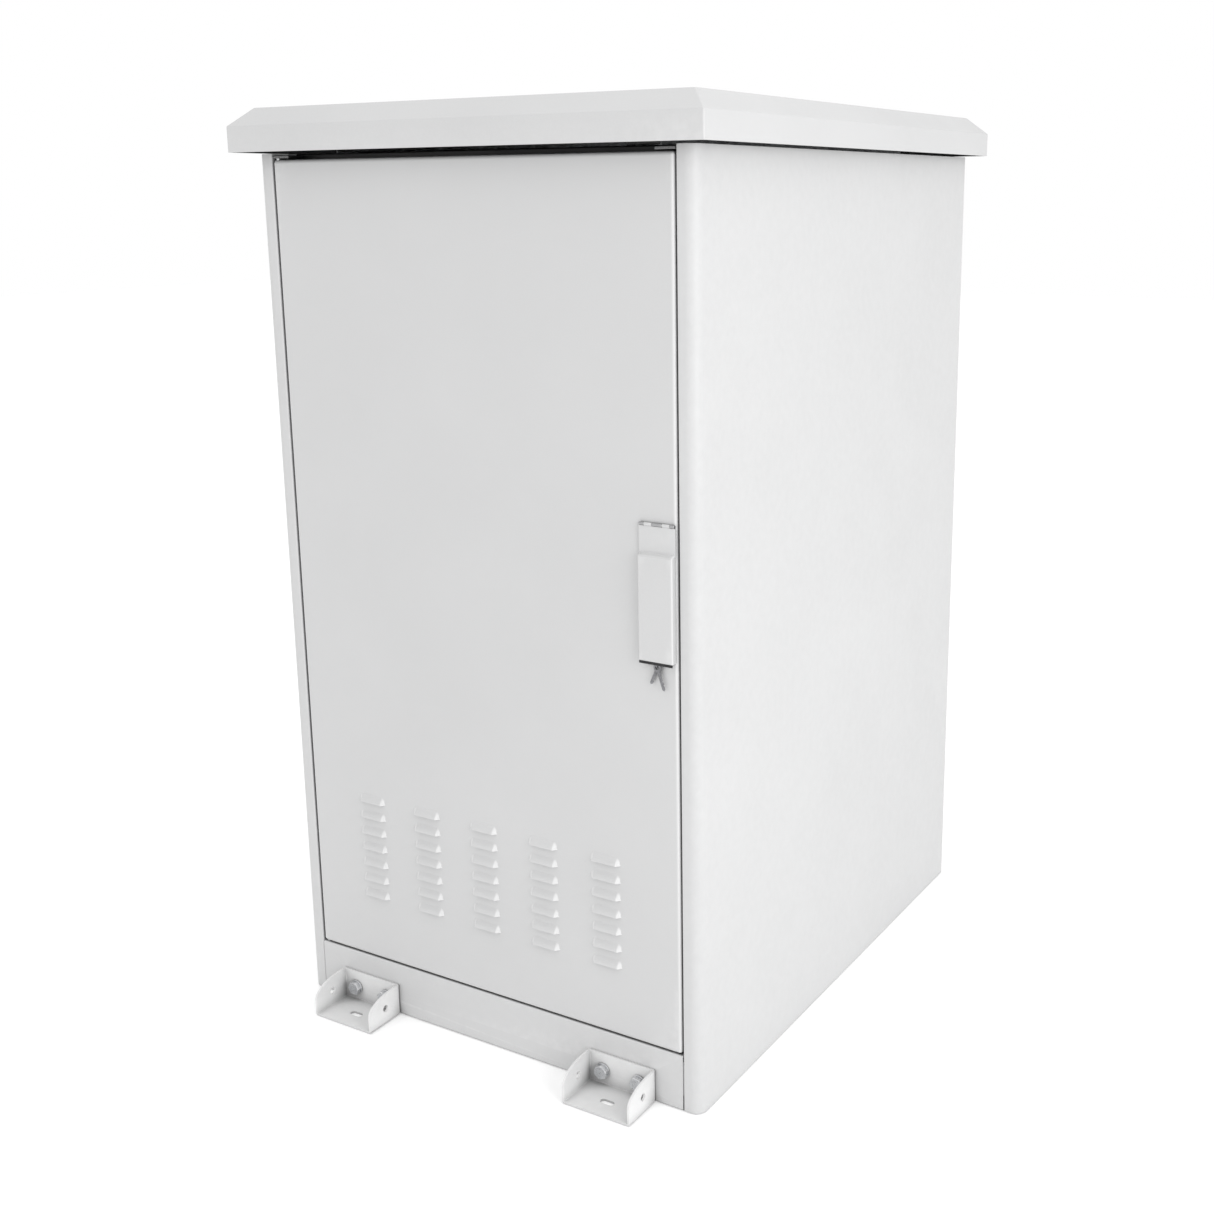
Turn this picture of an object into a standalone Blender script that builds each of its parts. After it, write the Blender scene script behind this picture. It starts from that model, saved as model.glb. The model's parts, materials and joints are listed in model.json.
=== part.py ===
"""Outdoor battery cabinet of folded sheet steel.

A louvred door on hidden pivots, a two-rod lock under a hinged flap, a roof canopy on rails,
three battery shelves on rack posts, an exhaust fan and four floor brackets.

Metres, +Z up, +Y towards the back. The origin is the middle of the footprint, on the floor.
"""
import math

import bmesh
import bpy
from mathutils import Matrix, Vector

# Clearance left between pieces that touch on the real cabinet, and how far a cutter passes a sheet.
FIT = 0.0003
OVERCUT = 0.005

# Body
WIDTH = 0.650
DEPTH = 0.800
BODY_TOP = 1.163
SHEET = 0.0015
CORNER_RADIUS = 0.015
CORNER_STEPS = 6
SIDE = WIDTH / 2
FRONT = -DEPTH / 2
BACK = DEPTH / 2

# Door frame: a return strip beside the door, a jamb going back, and a landing for the seal.
RETURN = 0.025
JAMB = SIDE - RETURN
LANDING_Y = FRONT + 0.028
LANDING_WIDTH = 0.016
LANDING_X = JAMB - LANDING_WIDTH
REAR_LANDING_Y = BACK - 0.015
BACK_FOOT = 0.0005

# Plinth, sill, lintel and floor
PLINTH_HALF = JAMB - 0.001
PLINTH_TOP = 0.0748
SILL_TOP = 0.094
SILL_FOOT = 0.0462
LINTEL_BOTTOM = 1.139
LINTEL_FLANGE = 0.020
FLOOR_TOP = 0.078
FLOOR_RIM = 0.030
TRAY_HALF = SIDE - SHEET - FIT
CEILING_RIM = 0.020
SILL_FLANGE = 0.027

# Door
DOOR_HALF = JAMB - 0.0025
DOOR_BOTTOM = 0.0768
DOOR_TOP = 1.1555
DOOR_DEPTH = 0.022
DOOR_RETURN = 0.010
DOOR_BACK = FRONT + DOOR_DEPTH
SKIN_BACK = FRONT + SHEET
SEAL_WIDTH = 0.009
SEAL_INSET = 0.002
PIVOT_INSET = 0.005
PIVOT_X = -DOOR_HALF + PIVOT_INSET
PIVOT_Y = FRONT + PIVOT_INSET
PIVOT_RADIUS = 0.0025
PIVOT_PLATE = 0.003
PIVOT_PLATE_END = -0.272
LOWER_PIVOT_REACH = 0.013
UPPER_PIVOT_REACH = 0.0155
LUG_LOW = 1.1575
LUG_HIGH = 1.1605
LUG_REACH = FRONT + 0.002
LUG_WIDTH = 0.012

# Hat-section stiffener down the door's middle: half widths of its feet, web and crown
STIFFENER_LOW = 0.345
STIFFENER_HIGH = 1.130
STIFFENER_SHEET = 0.0012
STIFFENER_FOOT = 0.045
STIFFENER_WEB = 0.028
STIFFENER_CROWN = 0.022
STIFFENER_DEPTH = 0.013

# Dust filter behind the louvres
FILTER_HALF = 0.222
FILTER_LOW = 0.150
FILTER_HIGH = 0.330
FILTER_DEPTH = 0.012
FILTER_WALL = 0.004
FILTER_LIP = 0.008
FILTER_LIP_THICK = 0.0015
FILTER_PAD = 0.009

# Louvres pressed out of the door, open at the lower edge
LOUVRE_COLUMNS = 5
LOUVRE_ROWS = 7
LOUVRE_PITCH_X = 0.095
LOUVRE_PITCH_Z = 0.023
LOUVRE_LOWEST = 0.170
LOUVRE_HALF = 0.022
LOUVRE_HEIGHT = 0.011
LOUVRE_PROUD = 0.005
LOUVRE_TAPER = 0.003
LOUVRE_FACE = 0.35
LOUVRE_WALL = 0.0012

# Lock: a quarter-turn rotor with a two-pin cam that slides an upper and a lower rod
LOCK_X = 0.272
LOCK_Z = 0.650
BEZEL_RADIUS = 0.016
BEZEL_FACE_RADIUS = 0.014
BEZEL_PROUD = 0.005
BEZEL_EDGE = 0.0035
BARREL_RADIUS = 0.011
BARREL_DEPTH = 0.0095
ROTOR_RADIUS = 0.006
ROTOR_PROUD = 0.0046
ROTOR_DEPTH = 0.009
STEM_RADIUS = 0.004
STEM_DEPTH = 0.0185
KEYWAY_HALF_X = 0.0008
KEYWAY_HALF_Z = 0.004
CAM_FRONT = FRONT + 0.0139
CAM_THICK = 0.003
CAM_PIN_ARM = 0.014
CAM_PIN_RADIUS = 0.002
CAM_END_RADIUS = 0.006
CAM_REST = math.radians(-45.0)
ROD_FRONT = FRONT + 0.0105
ROD_THICK = 0.003
ROD_HALF = 0.005
ROD_OFFSET = 0.012
ROD_TOP = 1.155
ROD_BOTTOM = 0.0773
YOKE_HALF = 0.0077
YOKE_HALF_HEIGHT = 0.007
YOKE_SLOT_HALF_X = 0.0045
YOKE_SLOT_HALF_Z = 0.0027
KEEPER_GAP = 0.0009
DOOR_SLOT_GAP = 0.0006
GUIDE_GAP = 0.0004
GUIDE_HALF = 0.010
GUIDE_HEIGHT = 0.022
GUIDE_COVER = 0.002
UPPER_GUIDE_Z = 1.040
LOWER_GUIDE_Z = 0.200

# Lock flap: a flat leaf under its hinge, and a raised box over the lock
FLAP_SHEET = 0.0013
FLAP_LOW = 0.580
FLAP_SHOULDER = 0.711
FLAP_LEAF_TOP = 0.7408
FLAP_HALF = 0.0235
FLAP_LEAF_HALF = 0.0245
FLAP_FRONT = FRONT - 0.009
FLAP_REAR = FRONT - 0.0005
FLAP_LEAF_FRONT = FRONT - 0.0028
FLAP_HINGE_Y = FRONT - 0.0025
FLAP_HINGE_Z = 0.743
KNUCKLE_RADIUS = 0.0019
FLAP_PIN_RADIUS = 0.0009
FLAP_PIN_HALF = 0.0235
FLAP_KNUCKLES = ((-0.019, -0.007), (0.007, 0.019))
DOOR_KNUCKLES = ((-0.024, -0.0193), (-0.0067, 0.0067), (0.0193, 0.024))
HINGE_LEAF_HALF = 0.022
HINGE_LEAF_LOW = 0.716
HINGE_LEAF_SHEET = 0.0009
NOTCH_HALF = 0.0075

# Keys on a wire loop that hangs from a staple under the flap
STAPLE_Z = 0.600
STAPLE_TOP = 0.616
STAPLE_STEP = 0.606
STAPLE_LOW = 0.595
STAPLE_HALF = 0.005
STAPLE_SHEET = 0.0012
STAPLE_HOLE = 0.002
LOOP_Y = FRONT - 0.0044
LOOP_BEND = 0.002
LOOP_LOW = 0.574
WIRE_RADIUS = 0.0007
KEY_THICK = 0.0009
KEY_BOW_RADIUS = 0.005
KEY_HOLE_RADIUS = 0.0025
KEY_EYE_Z = 0.5734
KEY_NECK = 0.0020
KEY_BITE = 0.0008
KEYS = (("key_one", 0.029, math.radians(19.0), -0.00095), ("key_two", 0.024, math.radians(-24.0), 0.0002))

# Rack posts and shelves
POST_X = 0.225
POST_Y = 0.345
POST_FRONT_FLANGE = 0.030
POST_SIDE_FLANGE = 0.040
SHELF_HALF_X = POST_X - FIT
SHELF_HALF_Y = 0.340
SHELF_RIM = 0.025
SHELF_TOPS = {"battery_shelf_lower": 0.150, "battery_shelf_middle": 0.470, "battery_shelf_upper": 0.790}
SHELF_SLOT_X = (-0.150, -0.050, 0.050, 0.150)
SHELF_SLOT_Y = (-0.220, 0.040)
SHELF_SLOT_HALF = 0.006
SHELF_SLOT_LENGTH = 0.180

# Roof canopy and the rails that carry it
ROOF_OVERHANG = 0.025
ROOF_LIP_BOTTOM = 1.165
ROOF_LIP_TOP = 1.197
ROOF_TOP = 1.220
ROOF_CHAMFER = 0.025
ROOF_SHEET = 0.002
RAIL_INNER = 0.210
RAIL_OUTER = 0.245
RAIL_HALF_LENGTH = 0.340

# Floor brackets and their bolts
BRACKET_X = 0.2095
BRACKET_HALF = 0.0502
BRACKET_DEPTH = 0.0617
BRACKET_HEIGHT = 0.045
BRACKET_SHEET = 0.003
EAR_FLAT = 0.014
EAR_FRONT_HEIGHT = 0.024
EAR_STEPS = 8
EAR_HOLE = (-0.030, 0.023)
EAR_HOLE_RADIUS = 0.0045
BASE_SLOT_Y = -0.035
BASE_SLOT_ARM = 0.0055
BASE_SLOT_RADIUS = 0.0045
BOLT_X = 0.027
BOLT_Z = 0.022
BOLT_RADIUS = 0.005
BOLT_HOLE_RADIUS = 0.0053
BOLT_LENGTH = 0.0206
WASHER_RADIUS = 0.010
WASHER_THICK = 0.002
BOLT_HEAD_RADIUS = 0.0098
BOLT_HEAD = 0.0064

# Exhaust fan in the ceiling
FAN_Y = 0.150
FAN_HALF = 0.0595
FAN_TOP = BODY_TOP - SHEET - FIT
FAN_DEPTH = 0.025
FAN_BORE = 0.057
FAN_HUB = 0.020
FAN_SPOKE_HALF = 0.003
FAN_SPOKE_THICK = 0.003
FAN_BLADES = 7
BLADE_SIZE = (0.037, 0.028, 0.0018)
BLADE_PITCH = math.radians(32.0)
GUARD_HALF = 0.060
GUARD_THICK = 0.0012
GUARD_REACH = 0.054
GUARD_SLOTS = 9
GUARD_SLOT_PITCH = 0.012
GUARD_SLOT_HALF = 0.0042

# Cable glands in the floor
GLAND_X = 0.120
GLAND_Y = 0.300
GLAND_TOP = 0.100
GLAND_NECK = 0.094
GLAND_COLLAR = 0.086
GLAND_NUT = 0.068
GLAND_BOTTOM = 0.058
GLAND_BORE = 0.009
GLAND_THREAD = 0.016

# Earth bar on two feet
EARTH_HALF = 0.100
EARTH_FRONT = 0.370
EARTH_BACK = 0.375
EARTH_LOW = 0.094
EARTH_HIGH = 0.119
EARTH_FEET = ((-0.090, -0.075), (0.075, 0.090))
EARTH_HOLES = 6
EARTH_HOLE_PITCH = 0.030
EARTH_HOLE_RADIUS = 0.0035

# Breaker in a rack panel
PANEL_LOW = 1.050
PANEL_HIGH = 1.138
PANEL_HALF = 0.2413
PANEL_FRONT = -POST_Y - 0.0018
PANEL_SCREW_X = 0.2325
PANEL_SCREW_INSET = 0.012
PANEL_SCREW_RADIUS = 0.0035
BREAKER_HALF = 0.027
BREAKER_LOW = 1.060
BREAKER_HIGH = 1.130
BREAKER_FRONT = -0.352
BREAKER_DEPTH = 0.062
TOGGLE_Y = -0.345
TOGGLE_Z = 1.095
TOGGLE_REST = math.radians(-25.0)
TOGGLE_HUB = 0.005
TOGGLE_REACH = 0.021
TOGGLE_HALF_THICK = 0.0022
TOGGLE_HALF_WIDTH = 0.0075
TOGGLE_HUB_STEPS = 12
TOGGLE_WELL_HALF_X = 0.009
TOGGLE_WELL_HALF_Z = 0.010
TOGGLE_WELL_DEPTH = 0.006

# Finishes: linear colour, roughness, metallic
PAINT = ((0.68, 0.68, 0.68), 0.45, 0.0)
ZINC = ((0.58, 0.59, 0.61), 0.35, 0.9)
DARK_STEEL = ((0.10, 0.10, 0.11), 0.40, 0.8)
RUBBER = ((0.02, 0.02, 0.02), 0.85, 0.0)
FOAM = ((0.06, 0.06, 0.065), 0.95, 0.0)
BLACK_PLASTIC = ((0.025, 0.025, 0.028), 0.50, 0.0)
GREY_PLASTIC = ((0.30, 0.30, 0.31), 0.55, 0.0)
COPPER = ((0.72, 0.35, 0.20), 0.30, 1.0)

PARTS = "battery_cabinet"
CUTTERS = "battery_cabinet_cutters"


# ---------------------------------------------------------------- scene and objects

def clear_scene():
    for obj in list(bpy.data.objects):
        bpy.data.objects.remove(obj, do_unlink=True)


def new_collection(name):
    collection = bpy.data.collections.new(name)
    bpy.context.scene.collection.children.link(collection)
    return collection


def add_material(obj, finish):
    colour, roughness, metallic = finish
    material = bpy.data.materials.new(obj.name + "_finish")
    material.use_nodes = True
    shader = material.node_tree.nodes["Principled BSDF"]
    shader.inputs["Base Color"].default_value = (*colour, 1.0)
    shader.inputs["Roughness"].default_value = roughness
    shader.inputs["Metallic"].default_value = metallic
    obj.data.materials.clear()
    obj.data.materials.append(material)


def add_part(name, data, finish):
    obj = bpy.data.objects.new(name, data)
    bpy.data.collections[PARTS].objects.link(obj)
    add_material(obj, finish)
    return obj


def hang(joint_name, axis_point, pieces, parent=None):
    """Parents the pieces to an empty on their joint's axis."""
    axis_point = Vector(axis_point)
    empty = bpy.data.objects.new(joint_name, None)
    bpy.data.collections[PARTS].objects.link(empty)
    empty.location = axis_point
    empty.empty_display_size = 0.02
    for piece in pieces:
        piece.parent = empty
        piece.matrix_parent_inverse = Matrix.Translation(-axis_point)
    if parent is not None:
        empty.parent = parent
        empty.matrix_parent_inverse = Matrix.Translation(-parent.matrix_basis.translation)
    return empty


# ---------------------------------------------------------------- meshes

def to_mesh(bm):
    bmesh.ops.recalc_face_normals(bm, faces=bm.faces)
    mesh = bpy.data.meshes.new("mesh")
    bm.to_mesh(mesh)
    bm.free()
    return mesh


def box_mesh(*boxes):
    """Separate boxes, each given by two opposite corners."""
    bm = bmesh.new()
    for low, high in boxes:
        size = Vector(high) - Vector(low)
        middle = (Vector(high) + Vector(low)) / 2
        place = Matrix.Translation(middle) @ Matrix.Diagonal(size.to_4d())
        bmesh.ops.create_cube(bm, size=1.0, matrix=place)
    return to_mesh(bm)


def along(axis, u, v, w):
    """A point at (u, v) across the named axis and w along it: (y, z), (x, z) or (x, y) across."""
    if axis == "X":
        return Vector((w, u, v))
    if axis == "Y":
        return Vector((u, w, v))
    return Vector((u, v, w))


def prism_mesh(axis, outlines, low, high):
    """Outlines across the axis, extruded along it from low to high."""
    bm = bmesh.new()
    for outline in outlines:
        face = bm.faces.new([bm.verts.new(along(axis, u, v, low)) for u, v in outline])
        grown = bmesh.ops.extrude_face_region(bm, geom=[face])
        moved = [item for item in grown["geom"] if isinstance(item, bmesh.types.BMVert)]
        bmesh.ops.translate(bm, verts=moved, vec=along(axis, 0.0, 0.0, high - low))
    return to_mesh(bm)


def circle(centre, radius, count=24):
    angles = [2 * math.pi * index / count for index in range(count)]
    return [(centre[0] + radius * math.cos(a), centre[1] + radius * math.sin(a)) for a in angles]


def stadium(centre, arm, radius, tilt=0.0, count=8):
    """A slot outline: two half circles whose centres lie arm away from the middle."""
    points = []
    for turn in (0.0, math.pi):
        end = Vector(centre) + arm * Vector((math.cos(tilt + turn), math.sin(tilt + turn)))
        for index in range(count + 1):
            angle = tilt + turn - math.pi / 2 + math.pi * index / count
            points.append((end.x + radius * math.cos(angle), end.y + radius * math.sin(angle)))
    return points


def rectangle(u0, u1, v0, v1):
    return [(u0, v0), (u1, v0), (u1, v1), (u0, v1)]


def shade_round(obj):
    obj.data.shade_smooth()
    obj.data.set_sharp_from_angle(angle=math.radians(35.0))


# ---------------------------------------------------------------- shaping tools

def combine(target, operation, mesh):
    tool = bpy.data.objects.new(f"{target.name}_tool_{len(target.modifiers)}", mesh)
    bpy.data.collections[CUTTERS].objects.link(tool)
    tool.display_type = "WIRE"
    tool.hide_render = True
    modifier = target.modifiers.new(operation.lower(), "BOOLEAN")
    modifier.operation = operation
    modifier.solver = "EXACT"
    modifier.object = tool


def cut(target, *meshes):
    for mesh in meshes:
        combine(target, "DIFFERENCE", mesh)


def fuse(target, *meshes):
    for mesh in meshes:
        combine(target, "UNION", mesh)


def bake(obj):
    """Turns the object's modifiers into its own mesh, so that copies can share it."""
    evaluated = obj.evaluated_get(bpy.context.evaluated_depsgraph_get())
    mesh = bpy.data.meshes.new_from_object(evaluated)
    tools = [modifier.object for modifier in obj.modifiers if modifier.type == "BOOLEAN"]
    obj.modifiers.clear()
    obj.data = mesh
    for tool in tools:
        bpy.data.objects.remove(tool, do_unlink=True)


def folded_sheet(name, axis, path, low, high, thickness, finish):
    """Sheet bent along a path across the axis; its thickness grows to the left of the path."""
    bm = bmesh.new()
    rows = [[bm.verts.new(along(axis, u, v, w)) for u, v in path] for w in (low, high)]
    for index in range(len(path) - 1):
        start, end = index, index + 1
        bm.faces.new((rows[0][start], rows[0][end], rows[1][end], rows[1][start]))
    mesh = bpy.data.meshes.new(name)
    bm.to_mesh(mesh)
    bm.free()
    obj = add_part(name, mesh, finish)
    solidify = obj.modifiers.new("thickness", "SOLIDIFY")
    solidify.thickness = thickness
    solidify.offset = -1.0
    solidify.use_even_offset = True
    return obj


def flipped(path, flip_u=False, flip_v=False):
    """The path mirrored in u and v, run so that its thickness stays on the same side."""
    mirrored = [(-u if flip_u else u, -v if flip_v else v) for u, v in path]
    if flip_u != flip_v:
        mirrored.reverse()
    return mirrored


def flat_plate(name, axis, outline, holes, low, high, finish):
    """A plate across the axis, from a filled outline with holes."""
    curve = bpy.data.curves.new(name, "CURVE")
    curve.dimensions = "2D"
    curve.fill_mode = "BOTH"
    curve.extrude = (high - low) / 2
    for points in (outline, *holes):
        spline = curve.splines.new("POLY")
        spline.points.add(len(points) - 1)
        for target, (u, v) in zip(spline.points, points):
            target.co = (u, v, 0.0, 1.0)
        spline.use_cyclic_u = True
    obj = add_part(name, curve, finish)
    turns = {"X": (math.pi / 2, 0.0, math.pi / 2), "Y": (math.pi / 2, 0.0, 0.0), "Z": (0.0, 0.0, 0.0)}
    obj.rotation_euler = turns[axis]
    obj.location = along(axis, 0.0, 0.0, (low + high) / 2)
    return obj


def turned(name, profile, closed, finish, steps=24):
    """A profile of (radius, height) points, turned about the object's own Z axis."""
    bm = bmesh.new()
    verts = [bm.verts.new((radius, 0.0, height)) for radius, height in profile]
    for index in range(len(verts) - 1):
        bm.edges.new((verts[index], verts[index + 1]))
    if closed:
        bm.edges.new((verts[-1], verts[0]))
    mesh = bpy.data.meshes.new(name)
    bm.to_mesh(mesh)
    bm.free()
    obj = add_part(name, mesh, finish)
    screw = obj.modifiers.new("turned", "SCREW")
    screw.steps = steps
    screw.render_steps = steps
    screw.use_merge_vertices = True
    screw.merge_threshold = 0.00001
    screw.use_smooth_shade = False
    return obj


def face_front(obj, x, y, z):
    """Points the object's own Z axis out of the cabinet's front."""
    obj.rotation_euler = (math.pi / 2, 0.0, 0.0)
    obj.location = (x, y, z)


# ---------------------------------------------------------------- enclosure

def side_panel_path():
    """The right side panel in plan, from the door landing round to the rear landing."""
    centre = (SIDE - CORNER_RADIUS, FRONT + CORNER_RADIUS)
    path = [(LANDING_X, LANDING_Y), (JAMB, LANDING_Y), (JAMB, FRONT)]
    for index in range(CORNER_STEPS + 1):
        angle = -math.pi / 2 + (math.pi / 2) * index / CORNER_STEPS
        x = centre[0] + CORNER_RADIUS * math.cos(angle)
        y = centre[1] + CORNER_RADIUS * math.sin(angle)
        path.append((x, y))
    path += [(SIDE, BACK), (JAMB, BACK), (JAMB, REAR_LANDING_Y), (LANDING_X, REAR_LANDING_Y)]
    return path


def make_side_panels():
    path = side_panel_path()
    folded_sheet("right_side_panel", "Z", path, 0.0, BODY_TOP, SHEET, PAINT)
    folded_sheet("left_side_panel", "Z", flipped(path, flip_u=True), 0.0, BODY_TOP, SHEET, PAINT)


def bracket_bolt_holes(low, high):
    centres = [(side * BRACKET_X + offset, BOLT_Z) for side in (-1, 1) for offset in (-BOLT_X, BOLT_X)]
    return prism_mesh("Y", [circle(centre, BOLT_HOLE_RADIUS) for centre in centres], low, high)


def make_back_panel():
    rear_edge = REAR_LANDING_Y + FIT
    inner = PLINTH_HALF - SHEET
    shell = ((-PLINTH_HALF, rear_edge, BACK_FOOT), (PLINTH_HALF, BACK, BODY_TOP))
    hollow = ((-inner, rear_edge - OVERCUT, BACK_FOOT + SHEET), (inner, BACK - SHEET, BODY_TOP - SHEET))
    panel = add_part("back_panel", box_mesh(shell), PAINT)
    cut(panel, box_mesh(hollow))
    cut(panel, bracket_bolt_holes(BACK - OVERCUT, BACK + OVERCUT))


def make_plinth():
    path = [(LANDING_Y - 0.0004, PLINTH_TOP), (FRONT, PLINTH_TOP), (FRONT, 0.0), (LANDING_Y - 0.002, 0.0)]
    plinth = folded_sheet("plinth_panel", "X", path, -PLINTH_HALF, PLINTH_HALF, SHEET, PAINT)
    cut(plinth, bracket_bolt_holes(FRONT - OVERCUT, FRONT + OVERCUT))
    rod_slot = rod_opening(LOCK_X - ROD_OFFSET, KEEPER_GAP)
    pivot_hole = circle((PIVOT_X, PIVOT_Y), PIVOT_RADIUS + 2 * FIT)
    cut(plinth, prism_mesh("Z", [rod_slot, pivot_hole], PLINTH_TOP - OVERCUT, PLINTH_TOP + OVERCUT))


def make_sill():
    path = [(LANDING_Y, SILL_TOP), (LANDING_Y, SILL_FOOT), (LANDING_Y + SILL_FLANGE, SILL_FOOT)]
    folded_sheet("door_sill", "X", path, -LANDING_X + FIT, LANDING_X - FIT, SHEET, PAINT)


def lug_outline(side):
    """A lug that reaches forward over the door's top edge, notched round the jamb's landing."""
    outer = DOOR_HALF + 0.001
    inner = LANDING_X - LUG_WIDTH
    step = LANDING_X - 0.002
    notch = LANDING_Y - FIT
    root = LANDING_Y + SHEET / 3
    points = [(inner, LUG_REACH), (outer, LUG_REACH), (outer, notch),
              (step, notch), (step, root), (inner, root)]
    return [(side * x, y) for x, y in points]


def make_lintel():
    path = [(LANDING_Y + LINTEL_FLANGE, BODY_TOP), (LANDING_Y, BODY_TOP), (LANDING_Y, LINTEL_BOTTOM)]
    lintel = folded_sheet("door_lintel", "X", path, -LANDING_X + FIT, LANDING_X - FIT, SHEET, PAINT)
    fuse(lintel, prism_mesh("Z", [lug_outline(-1), lug_outline(1)], LUG_LOW, LUG_HIGH))
    pivot_hole = circle((PIVOT_X, PIVOT_Y), PIVOT_RADIUS + FIT)
    rod_slot = rod_opening(LOCK_X + ROD_OFFSET, KEEPER_GAP)
    cut(lintel, prism_mesh("Z", [pivot_hole, rod_slot], LUG_LOW - FIT, LUG_HIGH + FIT))


def make_pan(name, half_x, front, rear, low, top):
    """A sheet tray turned upside down: a flat top with rims hanging from all four edges."""
    pan = add_part(name, box_mesh(((-half_x, front, low), (half_x, rear, top))), ZINC)
    inner = half_x - SHEET
    cut(pan, box_mesh(((-inner, front + SHEET, low - OVERCUT), (inner, rear - SHEET, top - SHEET))))
    return pan


def make_floor_tray():
    front = LANDING_Y + SHEET + FIT
    rear = REAR_LANDING_Y - SHEET - FIT
    tray = make_pan("floor_tray", TRAY_HALF, front, rear, FLOOR_TOP - FLOOR_RIM, FLOOR_TOP)
    outlines = [circle((side * GLAND_X, GLAND_Y), GLAND_THREAD + FIT) for side in (-1, 1)]
    cut(tray, prism_mesh("Z", outlines, FLOOR_TOP - OVERCUT, FLOOR_TOP + OVERCUT))


def make_ceiling_plate():
    front = LANDING_Y + LINTEL_FLANGE + FIT
    rear = REAR_LANDING_Y - SHEET - FIT
    plate = make_pan("ceiling_plate", TRAY_HALF, front, rear, BODY_TOP - CEILING_RIM, BODY_TOP)
    fan_hole = circle((0.0, FAN_Y), FAN_BORE, 32)
    cut(plate, prism_mesh("Z", [fan_hole], BODY_TOP - OVERCUT, BODY_TOP + OVERCUT))


def make_posts():
    path = [(POST_X, -POST_Y + POST_SIDE_FLANGE), (POST_X, -POST_Y), (POST_X + POST_FRONT_FLANGE, -POST_Y)]
    for place, flip_v in (("front", False), ("rear", True)):
        for side, flip_u in (("left", True), ("right", False)):
            folded_sheet(f"mounting_post_{place}_{side}", "Z", flipped(path, flip_u, flip_v),
                         FLOOR_TOP + FIT, FAN_TOP, SHEET, ZINC)


def make_shelves():
    for name, top in SHELF_TOPS.items():
        shelf = make_pan(name, SHELF_HALF_X, -SHELF_HALF_Y, SHELF_HALF_Y, top - SHELF_RIM, top)
        slots = []
        for x in SHELF_SLOT_X:
            for y in SHELF_SLOT_Y:
                low = (x - SHELF_SLOT_HALF, y, top - OVERCUT)
                high = (x + SHELF_SLOT_HALF, y + SHELF_SLOT_LENGTH, top + OVERCUT)
                slots.append((low, high))
        cut(shelf, box_mesh(*slots))


# ---------------------------------------------------------------- roof

def make_canopy():
    """An open-bottomed pan: upright lips, then a chamfer up to the flat top."""
    bm = bmesh.new()
    half_x = SIDE + ROOF_OVERHANG
    half_y = BACK + ROOF_OVERHANG
    size = Matrix.Diagonal((2 * half_x, 2 * half_y, ROOF_LIP_TOP - ROOF_LIP_BOTTOM, 1.0))
    middle = Matrix.Translation((0.0, 0.0, (ROOF_LIP_TOP + ROOF_LIP_BOTTOM) / 2))
    bmesh.ops.create_cube(bm, size=1.0, matrix=middle @ size)
    bottom = [face for face in bm.faces if face.normal.z < -0.5]
    top = [face for face in bm.faces if face.normal.z > 0.5]
    bmesh.ops.delete(bm, geom=bottom, context="FACES_ONLY")
    grown = bmesh.ops.extrude_face_region(bm, geom=top)
    bmesh.ops.delete(bm, geom=top, context="FACES_ONLY")
    raised = [item for item in grown["geom"] if isinstance(item, bmesh.types.BMVert)]
    narrowing = Matrix.Diagonal((1 - ROOF_CHAMFER / half_x, 1 - ROOF_CHAMFER / half_y, 1.0, 1.0))
    bmesh.ops.transform(bm, verts=raised, matrix=narrowing)
    bmesh.ops.translate(bm, verts=raised, vec=(0.0, 0.0, ROOF_TOP - ROOF_LIP_TOP))
    canopy = add_part("roof_canopy", to_mesh(bm), PAINT)
    solidify = canopy.modifiers.new("thickness", "SOLIDIFY")
    solidify.thickness = ROOF_SHEET
    solidify.offset = -1.0
    solidify.use_even_offset = True


def make_rails():
    low = BODY_TOP + FIT
    high = ROOF_TOP - ROOF_SHEET - FIT
    past_end = RAIL_HALF_LENGTH + OVERCUT
    for name, side in (("roof_rail_left", -1), ("roof_rail_right", 1)):
        block = ((side * RAIL_INNER, -RAIL_HALF_LENGTH, low), (side * RAIL_OUTER, RAIL_HALF_LENGTH, high))
        hollow = ((side * (RAIL_INNER - OVERCUT), -past_end, low + SHEET),
                  (side * (RAIL_OUTER - SHEET), past_end, high - SHEET))
        rail = add_part(name, box_mesh(block), ZINC)
        cut(rail, box_mesh(hollow))


# ---------------------------------------------------------------- floor brackets

def ear_outline():
    """A bracket's side in (y, z): flat on top near the cabinet, then a quarter ellipse to the front."""
    points = [(-BRACKET_DEPTH, 0.0), (0.0, 0.0), (0.0, BRACKET_HEIGHT)]
    for index in range(EAR_STEPS + 1):
        angle = (math.pi / 2) * index / EAR_STEPS
        y = -EAR_FLAT - (BRACKET_DEPTH - EAR_FLAT) * math.sin(angle)
        z = EAR_FRONT_HEIGHT + (BRACKET_HEIGHT - EAR_FRONT_HEIGHT) * math.cos(angle)
        points.append((y, z))
    return points


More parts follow.
